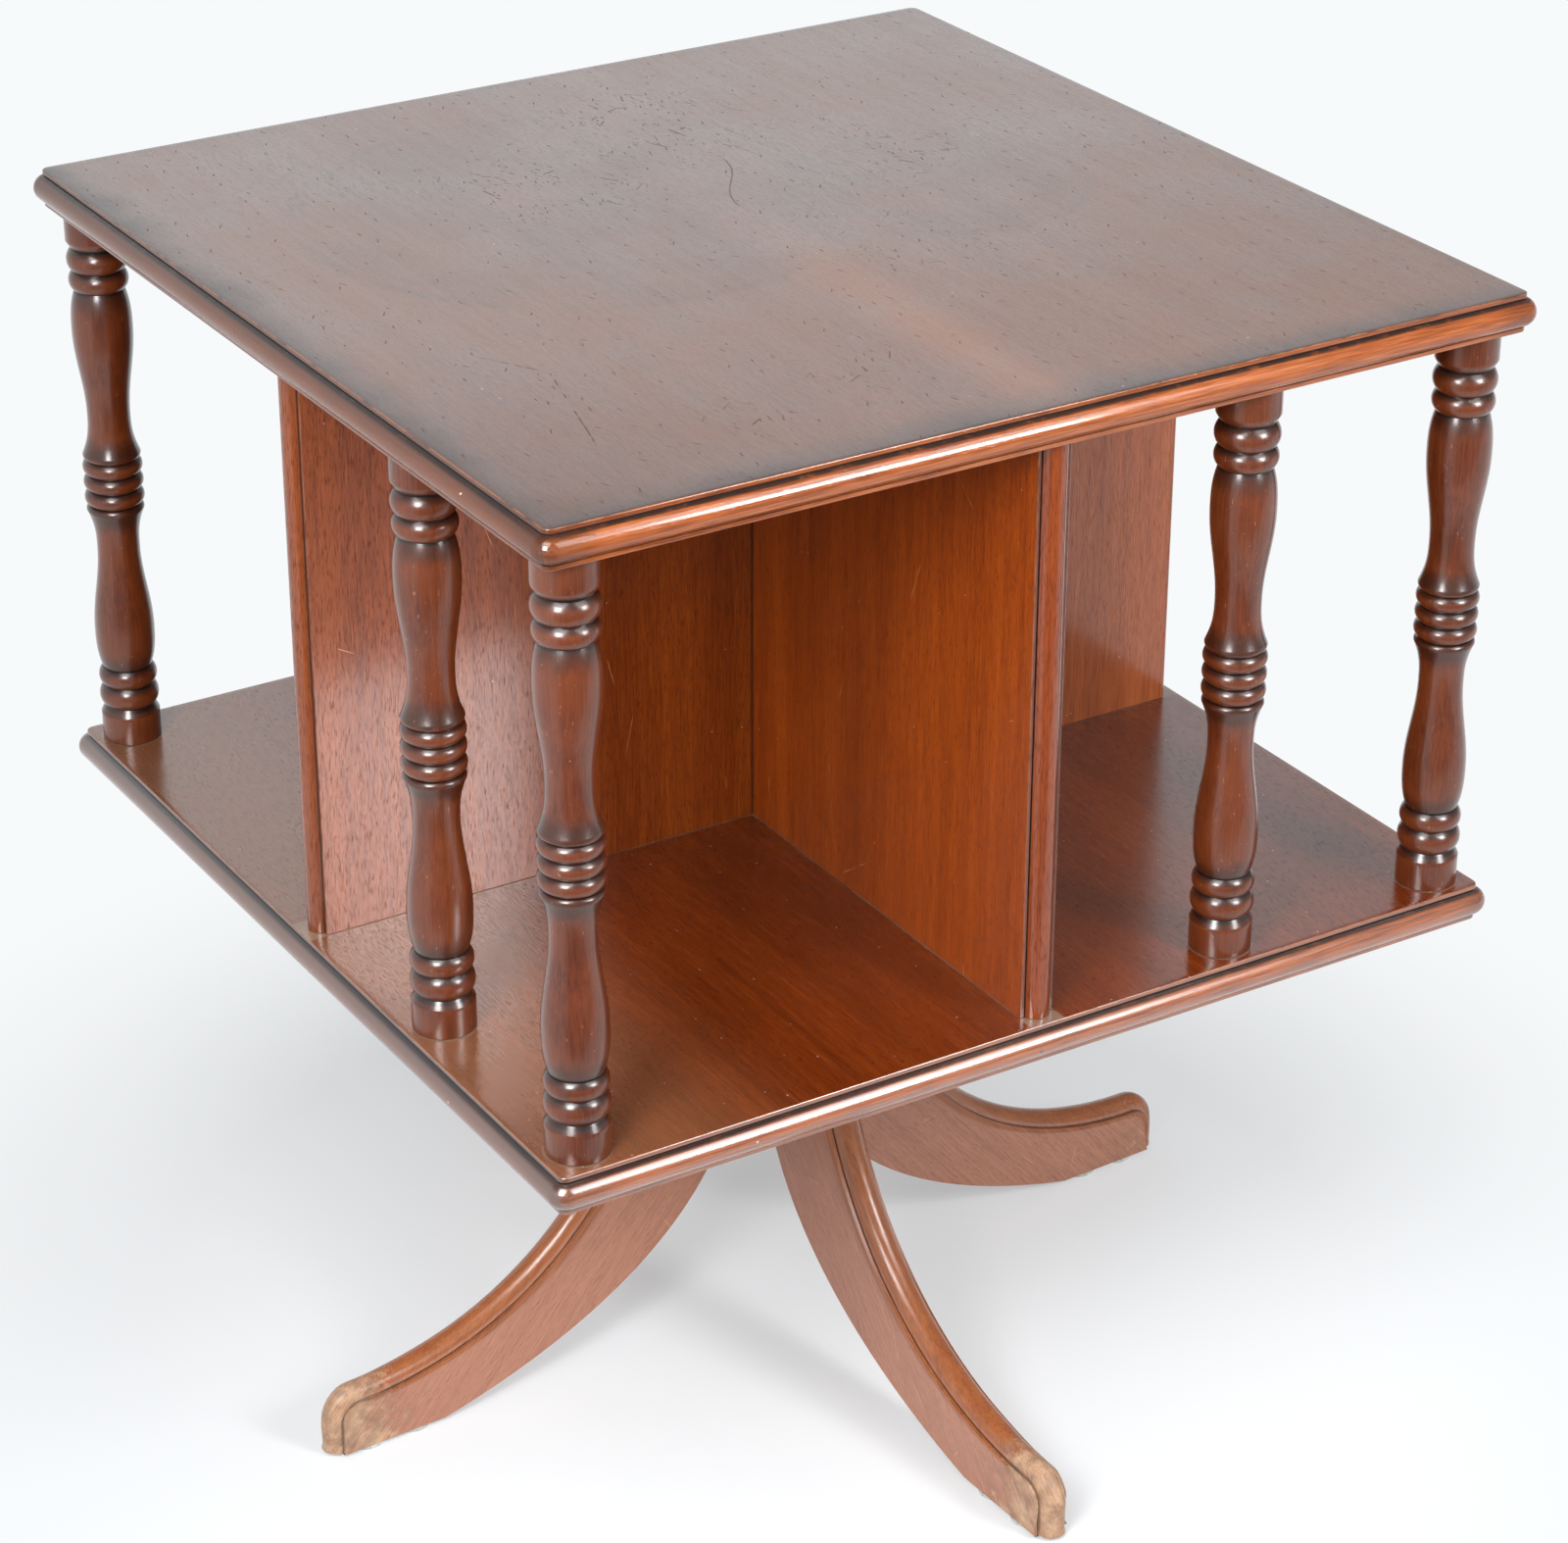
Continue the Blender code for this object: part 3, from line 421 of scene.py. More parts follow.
def corner_values(mesh):
    """For each face corner: its point, and the middle and normal of its face."""
    points = np.array([v.co for v in mesh.vertices])
    corner_point = np.array([loop.vertex_index for loop in mesh.loops])
    sizes = [face.loop_total for face in mesh.polygons]
    middles = np.repeat([face.center for face in mesh.polygons], sizes, axis=0)
    normals = np.repeat([face.normal for face in mesh.polygons], sizes, axis=0)
    return points[corner_point], middles, normals


def store_grain(mesh, values):
    """Keeps each face corner's place in the wood, in metres, with +Z along the grain."""
    store = mesh.attributes.new("grain", "FLOAT_VECTOR", "CORNER")
    store.data.foreach_set("vector", np.asarray(values, np.float32).ravel())


def grain_offset(number):
    return GRAIN_STEP * (number + 1)


def straight_grain(mesh, number, turn):
    """Wood that runs one way through the piece; turn takes the grain's direction to +Z."""
    points = corner_values(mesh)[0]
    store_grain(mesh, points @ np.array(turn).T + grain_offset(number))


def middle_of(name):
    low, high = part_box(name)
    return (low + high) / 2


def put(name, data):
    added = bpy.data.objects.new(name, data)
    bpy.context.scene.collection.objects.link(added)
    return added


def add_piece(name, mesh, node, body, material):
    """Puts a mesh in the scene in place of a CAD node."""
    piece = put(name, mesh)
    mesh.materials.append(material)
    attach(piece, body)
    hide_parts(node)


def board_edge(thickness):
    """A board's edge from top to bottom, as (out, up) from the fillet's face at middle height."""
    half = thickness / 2
    bead_half = half - FILLET_HEIGHT
    upper = [(-BOARD_RIM, half)]
    upper += arc((-BOARD_ARRIS, half - BOARD_ARRIS), BOARD_ARRIS, 90, 0, ARRIS_STEPS)
    upper += [(0.0, bead_half + QUIRK_WIDTH), (-QUIRK_DEPTH, bead_half + QUIRK_WIDTH / 2)]
    lower = [(out, -up) for out, up in reversed(upper)]
    return upper + bead_points(bead_half, FILLET_SETBACK) + lower


def rounded_square(half, corner, height):
    ring = []
    corner = max(corner, LEAST_CORNER_RADIUS)
    for turn in range(4):
        rotate = Matrix.Rotation(turn * QUARTER_TURN, 2)
        for x, y in arc((half - corner, half - corner), corner, 0, 90, CORNER_STEPS):
            ring.append((*(rotate @ Vector((x, y))), height))
    return ring


def board_mesh(name, low, high, number):
    """A square board: faces with the grain along Y, and a lipping with the grain along each edge."""
    middle = (low.z + high.z) / 2
    face = BOARD_HALF - FILLET_SETBACK
    edge = board_edge(high.z - low.z)
    rings = [rounded_square(face + out, FILLET_CORNER_RADIUS + out, middle + up) for out, up in edge]
    relief = relief_along(edge)
    relief[[0, -1]] = 0.0
    mesh = skin(name, rings, {"relief": relief})
    points, middles, normals = corner_values(mesh)
    along_x = points[:, [1, 2, 0]]
    along_y = points[:, [0, 2, 1]]
    inside = np.abs(middles[:, :2]).max(axis=1) < face - BOARD_ARRIS
    flat = (np.abs(normals[:, 2]) > LEVEL_FACE) & inside
    front = np.abs(middles[:, 1]) > np.abs(middles[:, 0])
    turned = front & ~flat
    values = np.where(turned[:, None], along_x, along_y) + grain_offset(number)
    store_grain(mesh, values + np.where(flat, 0.0, LIPPING_SHIFT)[:, None])
    return mesh


def divider_end():
    """Half of a divider's end in plan, from its face to the crest of its bead."""
    half = PANEL_HALF
    bead_half = half - DIVIDER_FILLET_WIDTH
    face = PANEL_REACH - PANEL_BEAD_PROUD
    end = [(face - BOARD_RIM, half)]
    end += [(face - a, half - b) for a, b in ((DIVIDER_ARRIS, 0.0), (0.0, DIVIDER_ARRIS))]
    end += [(face, bead_half + QUIRK_WIDTH), (face - QUIRK_DEPTH, bead_half + QUIRK_WIDTH / 2)]
    bead = bead_points(bead_half, PANEL_BEAD_PROUD)
    return end + [(face + out, up) for out, up in bead[: BEAD_STEPS // 2 + 1]]


def divider_mesh(name, yaw, slot_from_top, number):
    """A panel with a bead on each end and a slot to its middle where the other panel crosses it."""
    low, high = CLEAR_LOW + CLEAR_GAP, CLEAR_HIGH - CLEAR_GAP
    middle = (low + high) / 2
    half = PANEL_HALF
    end = divider_end()
    end_relief = relief_along(end + [(x, -y) for x, y in reversed(end[:-1])])[: len(end)]
    slot = half + CLEAR_GAP
    cut = middle - CLEAR_GAP / 2 if slot_from_top else middle + CLEAR_GAP / 2
    opened = (low, cut) if slot_from_top else (cut, high)
    crossing = [(-slot, half, low, high), (-slot, half, *opened)]
    crossing += [(slot, half, *opened), (slot, half, low, high)]
    stations = [(-x, y, low, high) for x, y in reversed(end)] + crossing
    stations += [(x, y, low, high) for x, y in end]
    relief = list(reversed(end_relief)) + [0.0] * len(crossing) + list(end_relief)
    rings = []
    for x, y, bottom, top in stations:
        waist = min(max(cut, bottom), top)
        side = ((y, bottom), (y, waist), (y, top))
        rings.append([(x, *p) for p in side] + [(x, -p[0], p[1]) for p in reversed(side)])
    mesh = skin(name, rings, {"relief": relief})
    mesh.transform(Matrix.Rotation(yaw, 4, "Z"))
    straight_grain(mesh, number, Matrix.Identity(3))
    return mesh


def turned_ring(start, size):
    """A turned ring between two grooves, as (distance, radius) points."""
    width, radius = size
    bulge = bead_points(width / 2, radius - GROOVE_RADIUS, RING_STEPS)
    return [(start + width / 2 - up, GROOVE_RADIUS + out) for out, up in bulge]


def turned_curve(start, length, first, last, rise):
    """A curve from one radius to another, as (distance, radius) points without the first one."""
    shares = [i / CURVE_STEPS for i in range(1, CURVE_STEPS + 1)]
    return [(start + length * share, first + (last - first) * rise(share)) for share in shares]


def spindle_half():
    """The turned outline from one end to the middle, as (distance, radius) points."""
    half = (CLEAR_HIGH - CLEAR_LOW) / 2 - CLEAR_GAP
    eased_radius = COLLAR_RADIUS - COLLAR_ARRIS / 2
    points = [(0.0, eased_radius), (COLLAR_ARRIS / 2, COLLAR_RADIUS)]
    points += [(COLLAR_LENGTH * share, COLLAR_RADIUS) for share in COLLAR_STATIONS]
    points.append((COLLAR_LENGTH + COLLAR_ARRIS, eased_radius))
    at = COLLAR_LENGTH + COLLAR_CHAMFER
    points += turned_ring(at, LARGE_RING)
    at += LARGE_RING[0]
    points += turned_ring(at, SMALL_RING)[1:]
    at += SMALL_RING[0]
    lip_end = half - 1.5 * MIDDLE_RING[0]
    lip_start = lip_end - LIP_WIDTH
    waist = lip_start - FLARE_LENGTH
    belly = at + BELLY_DISTANCE
    points.append((at, NECK_RADIUS))
    points += turned_curve(at, BELLY_DISTANCE, NECK_RADIUS, BELLY_RADIUS,
                           lambda share: 1 - (1 - share) ** NECK_FULLNESS)
    points += turned_curve(belly, waist - belly, BELLY_RADIUS, WAIST_RADIUS,
                           lambda share: (1 - math.cos(math.pi * share)) / 2)
    points += turned_curve(waist, FLARE_LENGTH, WAIST_RADIUS, LIP_RADIUS,
                           lambda share: 1 - math.cos(QUARTER_TURN * share**FLARE_EASE))
    half_ring = RING_STEPS // 2
    for i in range(1, half_ring + 1):
        turn = QUARTER_TURN * i / half_ring
        drop = (LIP_RADIUS - GROOVE_RADIUS) * (1 - math.cos(turn))
        points.append((lip_start + LIP_WIDTH * math.sin(turn), LIP_RADIUS - drop))
    points += turned_ring(lip_end, MIDDLE_RING)[1:]
    points += turned_ring(lip_end + MIDDLE_RING[0], MIDDLE_RING)[1 : half_ring + 1]
    return points


def spindle_mesh(name, number):
    """A turned spindle between the boards, with its relief worked out as if the boards joined it."""
    half = spindle_half()
    top = CLEAR_HIGH - CLEAR_GAP
    bottom = CLEAR_LOW + CLEAR_GAP
    upper = [(r, top - d) for d, r in half]
    lower = [(r, bottom + d) for d, r in reversed(half[:-1])]
    outline = upper + lower
    board_reach = COLLAR_RADIUS + RELIEF_LEAD
    relief = relief_along([(board_reach, top)] + outline + [(board_reach, bottom)])[1:-1]
    centre = middle_of(name)
    rings = [circle(radius, height, SPINDLE_SIDES, centre) for radius, height in outline]
    mesh = skin(name, rings, {"relief": relief})
    straight_grain(mesh, number, Matrix.Rotation(SPINDLE_GRAIN_TURN * number, 3, "Z"))
    return mesh


def shoulder_path():
    """The line at the foot of the leg's bead: down the back, round the toe and to the sole."""
    start = Vector((LEG_TOP_REACH, LEG_TOP))
    toe = Vector((TOE_REACH - TOE_ROUND, SOLE_HEIGHT + TOE_HEIGHT))
    handles = (start - Vector((0, LEG_TOP_PULL)), toe - Vector((TOE_PULL, 0)))
    path = [start] + bezier((start, *handles, toe), LEG_STEPS)
    centre = toe - Vector((0, TOE_ROUND))
    round_steps = TOE_STEPS // 2
    path += [Vector(p) for p in arc(centre, TOE_ROUND, 90, 0, round_steps)[1:]]
    end = Vector((TOE_REACH, SOLE_HEIGHT))
    down = TOE_STEPS - round_steps
    return path + [path[-1].lerp(end, i / down) for i in range(1, down + 1)]


def under_path():
    """The leg's inner line: down the hub, along the underside, and out along the sole."""
    start = Vector((0.0, LEG_TOP))
    heel = Vector((math.sqrt(LEG_SEAT_RADIUS**2 - LEG_HALF**2), HUB_LOW.z))
    sole = Vector((TOE_REACH - SOLE_LENGTH, SOLE_HEIGHT))
    down = HEEL_PULL * Vector((math.cos(HEEL_SLOPE), -math.sin(HEEL_SLOPE)))
    along = SOLE_PULL * Vector((-math.cos(SOLE_SLOPE), math.sin(SOLE_SLOPE)))
    inner_steps = LEG_STEPS // 4
    path = [start.lerp(Vector((0.0, heel.y)), i / inner_steps) for i in range(inner_steps + 1)]
    path += bezier((heel, heel + down, sole + along, sole), LEG_STEPS - inner_steps)
    end = Vector((TOE_REACH - SEAT_GAP, SOLE_HEIGHT))
    return path + [sole.lerp(end, i / TOE_STEPS) for i in range(1, TOE_STEPS + 1)]


def path_normals(path):
    """Unit normals on the outer side of a path that runs down the leg's back."""
    normals = []
    for i in range(len(path)):
        along = path[min(i + 1, len(path) - 1)] - path[max(i - 1, 0)]
        normals.append(Vector((-along.y, along.x)).normalized())
    normals[0] = Vector((1, 0))
    normals[-1] = Vector((1, 0))
    return normals


def leg_crown():
    """The leg's section over its shoulder line, a bead between quirks, as (across, out) points."""
    quirk = LEG_BEAD_RADIUS + QUIRK_WIDTH / 2
    points = [(-LEG_HALF, 0.0), (-quirk, 0.0), (-quirk + QUIRK_WIDTH / 4, -LEG_QUIRK_DEPTH)]
    points += arc((0.0, 0.0), LEG_BEAD_RADIUS, 180, 90, BEAD_STEPS // 2)
    return points + [(-across, out) for across, out in reversed(points[:-1])]


def beside_hub(under, across):
    """A point on the leg's inner line, kept out of the hub."""
    return Vector((max(under.x, math.sqrt(LEG_SEAT_RADIUS**2 - across * across)), under.y))


def leg_ring(shoulder, under, normal, wear):
    """One ring of a leg: up one side, over the bead, down the other side and back under."""
    foot = beside_hub(under, LEG_HALF)
    ring = [(foot.lerp(shoulder, i / LEG_SIDE_STEPS), -LEG_HALF) for i in range(LEG_SIDE_STEPS)]
    for across, out in leg_crown():
        eased = out if out > 0 else out * (1 - wear * QUIRK_LOSS)
        ring.append((shoulder + normal * (eased - wear * TOE_WEAR_DEPTH / 2), across))
    ring += [(point, -across) for point, across in reversed(ring[:LEG_SIDE_STEPS])]
    for i in range(1, LEG_UNDER_STEPS):
        across = LEG_HALF - LEG_THICKNESS * i / LEG_UNDER_STEPS
        ring.append((beside_hub(under, across), across))
    return [(point.x, across, point.y) for point, across in ring]


def leg_mesh(name, yaw, number, wear_share):
    """A sabre leg: flat sides, a bead between quirks on its back, worn at the toe."""
    back = shoulder_path()
    reach = np.array([p.x for p in back])
    wear = wear_share * smooth_share(reach, TOE_REACH - TOE_WEAR_LENGTH, TOE_REACH - TOE_ROUND / 2)
    rings = [leg_ring(*parts) for parts in zip(back, under_path(), path_normals(back), wear)]
    crown = leg_crown()
    joined = [(-LEG_HALF, -RELIEF_LEAD)] + crown + [(LEG_HALF, -RELIEF_LEAD)]
    flat = [0.0] * LEG_SIDE_STEPS
    relief = flat + list(relief_along(joined)[1:-1]) + flat + [0.0] * (LEG_UNDER_STEPS - 1)
    bare = []
    for ring, most in zip(rings, wear):
        near_end = smooth_share([x for x, _, _ in ring], TOE_REACH - TOE_SIDE_WEAR, TOE_REACH)
        near_end[LEG_SIDE_STEPS : LEG_SIDE_STEPS + len(crown)] = 1.0
        bare.append(list(most * near_end))
    mesh = skin(name, rings, {"relief": [relief] * len(rings), "bare": bare})
    wear_toe(mesh, number)
    straight_grain(mesh, number, Matrix.Rotation(LEG_GRAIN_SLOPE - QUARTER_TURN, 3, "Y"))
    mesh.transform(Matrix.Rotation(yaw, 4, "Z"))
    return mesh


def wear_toe(mesh, number):
    """Scuffs the toe: low uneven hollows where the finish is gone."""
    bare = mesh.attributes["bare"].data
    for vert in mesh.vertices:
        amount = bare[vert.index].value
        if amount > 0 and vert.co.z > SOLE_HEIGHT + MM:
            place = vert.co / TOE_SCUFF_SIZE + Vector((0, 0, TOE_SCUFF_SHIFT * number))
            scuff = 0.5 + 0.5 * noise.noise(place)
            vert.co -= vert.normal * (TOE_WEAR_DEPTH * amount * scuff)


def hub_mesh(name):
    """The turned hub: a round platform over a column, bored for the stud."""
    top, bottom = HUB_HIGH.z, HUB_LOW.z
    platform_low = top - PLATFORM_THICKNESS
    platform = HUB_HIGH.x
    rim = (platform - PLATFORM_ROUND, platform_low + PLATFORM_ROUND)
    foot = (COLUMN_RADIUS - HUB_BOTTOM_ROUND, bottom + HUB_BOTTOM_ROUND)
    rim_steps, foot_steps = HUB_ROUND_STEPS
    outline = [(STUD_BORE_RADIUS, top), (platform - PLATFORM_ARRIS, top), (platform, top - PLATFORM_ARRIS)]
    outline += arc(rim, PLATFORM_ROUND, 0, -90, rim_steps)
    outline += [(COLUMN_RADIUS, platform_low)]
    outline += arc(foot, HUB_BOTTOM_ROUND, 0, -90, foot_steps)
    outline += [(STUD_BORE_RADIUS, bottom), (STUD_BORE_RADIUS, top)]
    relief = relief_along(outline)
    rings = [circle(radius, height, HUB_SIDES) for radius, height in outline]
    mesh = skin(name, rings, {"relief": relief, "bare": [0.0] * len(rings)}, caps=False)
    straight_grain(mesh, HUB_NUMBER, Matrix.Identity(3))
    return mesh


def glide_mesh(name, number):
    """A clear glide: a round pad with a soft rim, pressed a little out of true."""
    low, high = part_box(name)
    spot = middle_of(name)
    radius = (high.x - low.x) / 2 - GLIDE_LUMP
    bulge = (high.z - low.z) / 2
    outline = [(radius * share, high.z) for share in GLIDE_FACE_SHARES]
    rim = (radius - bulge, low.z + bulge)
    outline += arc(rim, bulge, GLIDE_RIM_TURN, -GLIDE_RIM_TURN, GLIDE_RIM_STEPS)
    outline += [(radius * share, low.z) for share in reversed(GLIDE_FACE_SHARES)]
    rings = []
    for reach, level in outline:
        ring = []
        for x, y, _ in circle(1.0, level, GLIDE_SIDES):
            way = Vector((x, y, GLIDE_LUMP_SHIFT * number))
            lump = GLIDE_LUMP * noise.noise(way * GLIDE_LUMPINESS) * reach / radius
            ring.append((spot.x + (reach + lump) * x, spot.y + (reach + lump) * y, level))
        rings.append(ring)
    return skin(name, rings, {}, caps=False)


def operator(operation):
    """An operator of Value that adds a math node."""
    return lambda value, *other: value.nodes.math(operation, value, *other)


class Value:
    """What a node hands on. Arithmetic with it adds math nodes."""

    def __init__(self, nodes, socket):
        self.nodes, self.socket = nodes, socket

    def __rsub__(self, number):
        return self.nodes.math("SUBTRACT", number, self)

    __add__ = operator("ADD")
    __sub__ = operator("SUBTRACT")
    __mul__ = operator("MULTIPLY")
    __truediv__ = operator("DIVIDE")
    __abs__ = operator("ABSOLUTE")


class Nodes:
    """A node tree under way: short calls add nodes and hand back their values."""

    def __init__(self, tree):
        self.tree = tree

    def give(self, socket, value):
        """Links a value to an input, or sets a plain number or colour there."""
        if isinstance(value, Value):
            self.tree.links.new(value.socket, socket)
        else:
            socket.default_value = value

    def node(self, kind, inputs, *outputs, **settings):
        """Adds a node and hands back the outputs asked for."""
        node = self.tree.nodes.new("ShaderNode" + kind)
        for key, value in settings.items():
            setattr(node, key, value)
        for key, value in inputs.items():
            self.give(node.inputs[key], value)
        values = [Value(self, node.outputs[key]) for key in outputs]
        return values if len(values) > 1 else values[0]

    def split(self, vector):
        return self.node("SeparateXYZ", {0: vector}, 0, 1, 2)

    def flat(self, u, v):
        return self.node("CombineXYZ", {0: u, 1: v}, 0)

    def math(self, operation, *values):
        return self.node("Math", dict(enumerate(values)), 0, operation=operation)

    def vector(self, operation, *values, output=0):
        return self.node("VectorMath", dict(enumerate(values)), output, operation=operation)

    def least(self, first, second):
        return self.math("MINIMUM", first, second)

    def most(self, first, *others):
        for other in others:
            first = self.math("MAXIMUM", first, other)
        return first

    def fade(self, value, start, end):
        """0 at start, 1 at end, and an S curve between them."""
        inputs = {0: value, 1: start, 2: end}
        return self.node("MapRange", inputs, 0, interpolation_type="SMOOTHSTEP")

    def blend(self, share, first, second):
        return self.node("Mix", {0: share, 2: first, 3: second}, 0)

    def mix(self, share, first, second):
        return self.node("Mix", {0: share, 6: first, 7: second}, 2, data_type="RGBA")


class Finish(Nodes):
    """A material under way, whose coats build up its colour, roughness and height."""

    def __init__(self, name):
        self.material = bpy.data.materials.new(name)
        self.material.use_nodes = True
        super().__init__(self.material.node_tree)
        self.shader = self.tree.nodes["Principled BSDF"]

    def attribute(self, name, output):
        return self.node("Attribute", {}, output, attribute_name=name)

    def place(self):
        """The piece's own coordinates, which are the part's frame at rest."""
        return self.node("TexCoord", {}, "Object")

    def tilt(self):
        """How far a surface faces up: 1 on a level face, 0 on an upright one."""
        return self.split(self.node("TexCoord", {}, "Normal"))[2]

    def sum(self, *terms):
        """Adds up terms, each a value times a number, less half that number."""
        total = 0.5
        for value, amount in terms:
            total = value * amount + (total - amount / 2)
        return total

    def noise(self, place, size, detail, distortion=0.0):
        """Soft random values from about 0.2 to 0.8; the size of features may differ by axis."""
        sizes = size if isinstance(size, tuple) else (size, size, size)
        scaled = self.vector("MULTIPLY", place, tuple(1 / s for s in sizes))
        inputs = {"Vector": scaled, "Scale": 1.0, "Detail": detail, "Distortion": distortion}
        return self.node("TexNoise", inputs, "Fac")

    def along_grain(self, size, detail):
        across, along = size
        return self.noise(self.grain, (across, across, along), detail, GRAIN_DISTORTION)

    def patches(self, place, size, detail, start, end):
        return self.fade(self.noise(place, size, detail), start, end)

    def ramp(self, value, stops):
        colour = self.node("ValToRGB", {0: value}, 0)
        elements = colour.socket.node.color_ramp.elements
        for i, (place, tone) in enumerate(stops):
            element = elements[i] if i < 2 else elements.new(place)
            element.position = place
            element.color = (*tone, 1.0)
        return colour

    def turned(self, offset, angle):
        """The x and y of a flat place, turned about the origin."""
        inputs = {"Vector": offset, "Angle": angle}
        return self.split(self.node("VectorRotate", inputs, 0, rotation_type="Z_AXIS"))[:2]

    def stroke(self, aside, width):
        """The thickness of a mark, soft at its sides."""
        return self.fade(abs(aside), width, width * 0.4)

    def dashes(self, place, cell, length, width, turn, share, shift=None):
        """Short straight marks strewn over a flat place, each turned from the place's Y axis."""
        if shift:
            place = self.vector("ADD", place, shift)
        inputs = {"Vector": place, "Scale": 1 / cell}
        outputs = ("Color", "Position")
        colour, spot = self.node("TexVoronoi", inputs, *outputs, voronoi_dimensions="2D")
        first, second, third = self.node("SeparateColor", {0: colour}, 0, 1, 2)
        x, y = self.turned(self.vector("SUBTRACT", place, spot), first * (2 * turn) - turn)
        reach = second * (length * 0.7) + length * 0.3
        kept = self.math("LESS_THAN", third, share)
        return self.stroke(x, width) * self.fade(abs(y) / reach, 1.0, 0.6) * kept

    def plan_distance(self, place, spot):
        plan = self.vector("MULTIPLY", place, (1.0, 1.0, 0.0))
        return self.vector("DISTANCE", plan, (*spot, 0.0), output="Value")

    def line(self, place, start, end, width):
        """A straight mark from one spot to another, seen from above."""
        run = Vector(end) - Vector(start)
        half = run.length / 2
        offset = self.vector("SUBTRACT", place, (*start, 0.0))
        x, y = self.turned(offset, math.atan2(run.x, run.y))
        return self.stroke(x, width) * self.fade(abs(y - half), half, half - 4 * width)

    def cover(self, mask, share, colour, roughness=None, height=None):
        """Lays a coat over what is there, where the mask is above 0."""
        mask = mask * share
        tone = colour if isinstance(colour, Value) else (*colour, 1.0)
        self.colour = self.mix(mask, self.colour, tone)
        if roughness is not None:
            self.roughness = (roughness - self.roughness) * mask + self.roughness
        if height is not None:
            self.height = mask * height + self.height

    def done(self, bump_depth, **sockets):
        """Joins the layers to the shader; numbers in sockets are the same all over."""
        inputs = {"Height": self.height, "Distance": bump_depth, "Strength": 1.0}
        bump = self.node("Bump", inputs, 0)
        sockets.update(Base_Color=self.colour, Roughness=self.roughness, Normal=bump)
        for key, value in sockets.items():
            self.give(self.shader.inputs[key.replace("_", " ")], value)
        return self.material


def wood(name, tones, roughness, pores, contrast):
    """Polished mahogany before wear: figure, streaks, fibres and open pores along the grain."""
    m = Finish(name)
    m.grain = m.attribute("grain", "Vector")
    m.relief = m.attribute("relief", "Fac")
    m.patch = m.noise(m.grain, WOOD_PATCH_SIZE, 3.0)
    m.figure = m.along_grain(FIGURE_SIZE, 3.0)
    m.streak = m.along_grain(STREAK_SIZE, 3.0)
    m.fibre = m.along_grain(FIBRE_SIZE, 2.0)
    tone = m.sum((m.figure, 0.7 * contrast), (m.streak, 0.6 * contrast), (m.fibre, 0.75))
    m.colour = m.ramp(tone, zip(TONE_PLACES, tones))
    m.pore = m.fade(m.along_grain(PORE_SIZE, 1.0), *PORE_LEVELS)
    m.roughness = m.sum((m.patch, 0.12), (m.fibre, 0.06)) + (roughness - 0.5)
    m.height = m.fibre * 0.2
    m.cover(m.pore, pores, [c * 0.3 for c in tones[0]], roughness + 0.2, -0.8)
    return m


def age(m, grime, rub_and_highlight, grime_share=1.0):
    """Dirt in the quirks, and a paler colour on arrises and crests that is part worn finish and part
    painted highlight.
    """
    uneven = m.patches(m.grain, *GRIME_PATCHES)
    hollow = m.fade(m.relief, *HOLLOW_LEVELS)
    m.cover(hollow * grime_share * (uneven * 0.3 + 0.7), *grime)
    # Painted highlight with wear: arrises and crests are made paler, partly worn finish and partly a
    # painted highlight line
    m.cover(m.fade(m.relief, *CREST_LEVELS) * uneven, *rub_and_highlight)


def lipping(m, low, high):
    """The moulded lipping round a board, redder than its faces, with dark fillets and corners and a few
    chips. Hands back a mask of the upper face."""
    x, y, z = m.split(m.place())
    level = z - (low + high) / 2
    half = (high - low) / 2
    bead_half = half - FILLET_HEIGHT
    outer, inner = half - 0.05 * MM, half - 0.2 * MM
    side = m.fade(abs(level), outer, inner)
    m.cover(m.fade(level, -inner, -outer), *UNDERSIDE)
    fine = m.sum((m.streak, 0.5), (m.fibre, 0.9))
    m.cover(side, 1.0, m.ramp(fine, LIPPING_RAMP), roughness=0.10)
    left_side = m.math("GREATER_THAN", x * -1.0, abs(y)) * side
    m.cover(left_side, *DARK_STRIP)
    m.cover(left_side * m.fade(level, -0.5 * MM, bead_half) * (m.patch * 0.8 + 0.15), *HANDLED)
    m.cover(m.fade(level, bead_half - 0.5 * MM, bead_half) * side, *UPPER_FILLET)
    over_bead = m.fade(level, bead_half - 1.3 * MM, bead_half - 0.5 * MM)
    ledge = over_bead * m.fade(level, bead_half + 0.9 * MM, bead_half + 0.4 * MM)
    m.cover(ledge * (m.patches(m.grain, *LEDGE_PATCHES) * 0.35 + 0.6), *LEDGE_GRIME)
    corner = m.fade(m.least(abs(x), abs(y)), BOARD_HALF - 34 * MM, BOARD_HALF - 4 * MM)
    m.cover(corner * m.fade(m.patch, 0.25, 0.6) * side, *CORNER_PATINA)
    across, through, along = m.split(m.grain)
    strip = m.flat(across + through, along)
    bead = m.fade(m.relief, 0.02, 0.06) * side
    m.cover(m.dashes(strip, *EDGE_CHIPS) * bead, *CHIP)
    m.cover(m.dashes(strip, *EDGE_KNOCKS) * bead, *KNOCK)
    return m.fade(level, inner, outer)


def curved_mark(m, place):
    (x0, y0), lean, swing, half = CURVED_MARK
    x, y, _ = m.split(m.vector("SUBTRACT", place, (x0, y0, 0.0)))
    aside = abs(y * -lean + x - m.math("SINE", y * (math.pi / half)) * swing)
    return m.fade(aside, 0.7 * MM, 0.2 * MM) * m.fade(abs(y), half, half * 0.8) * 0.8


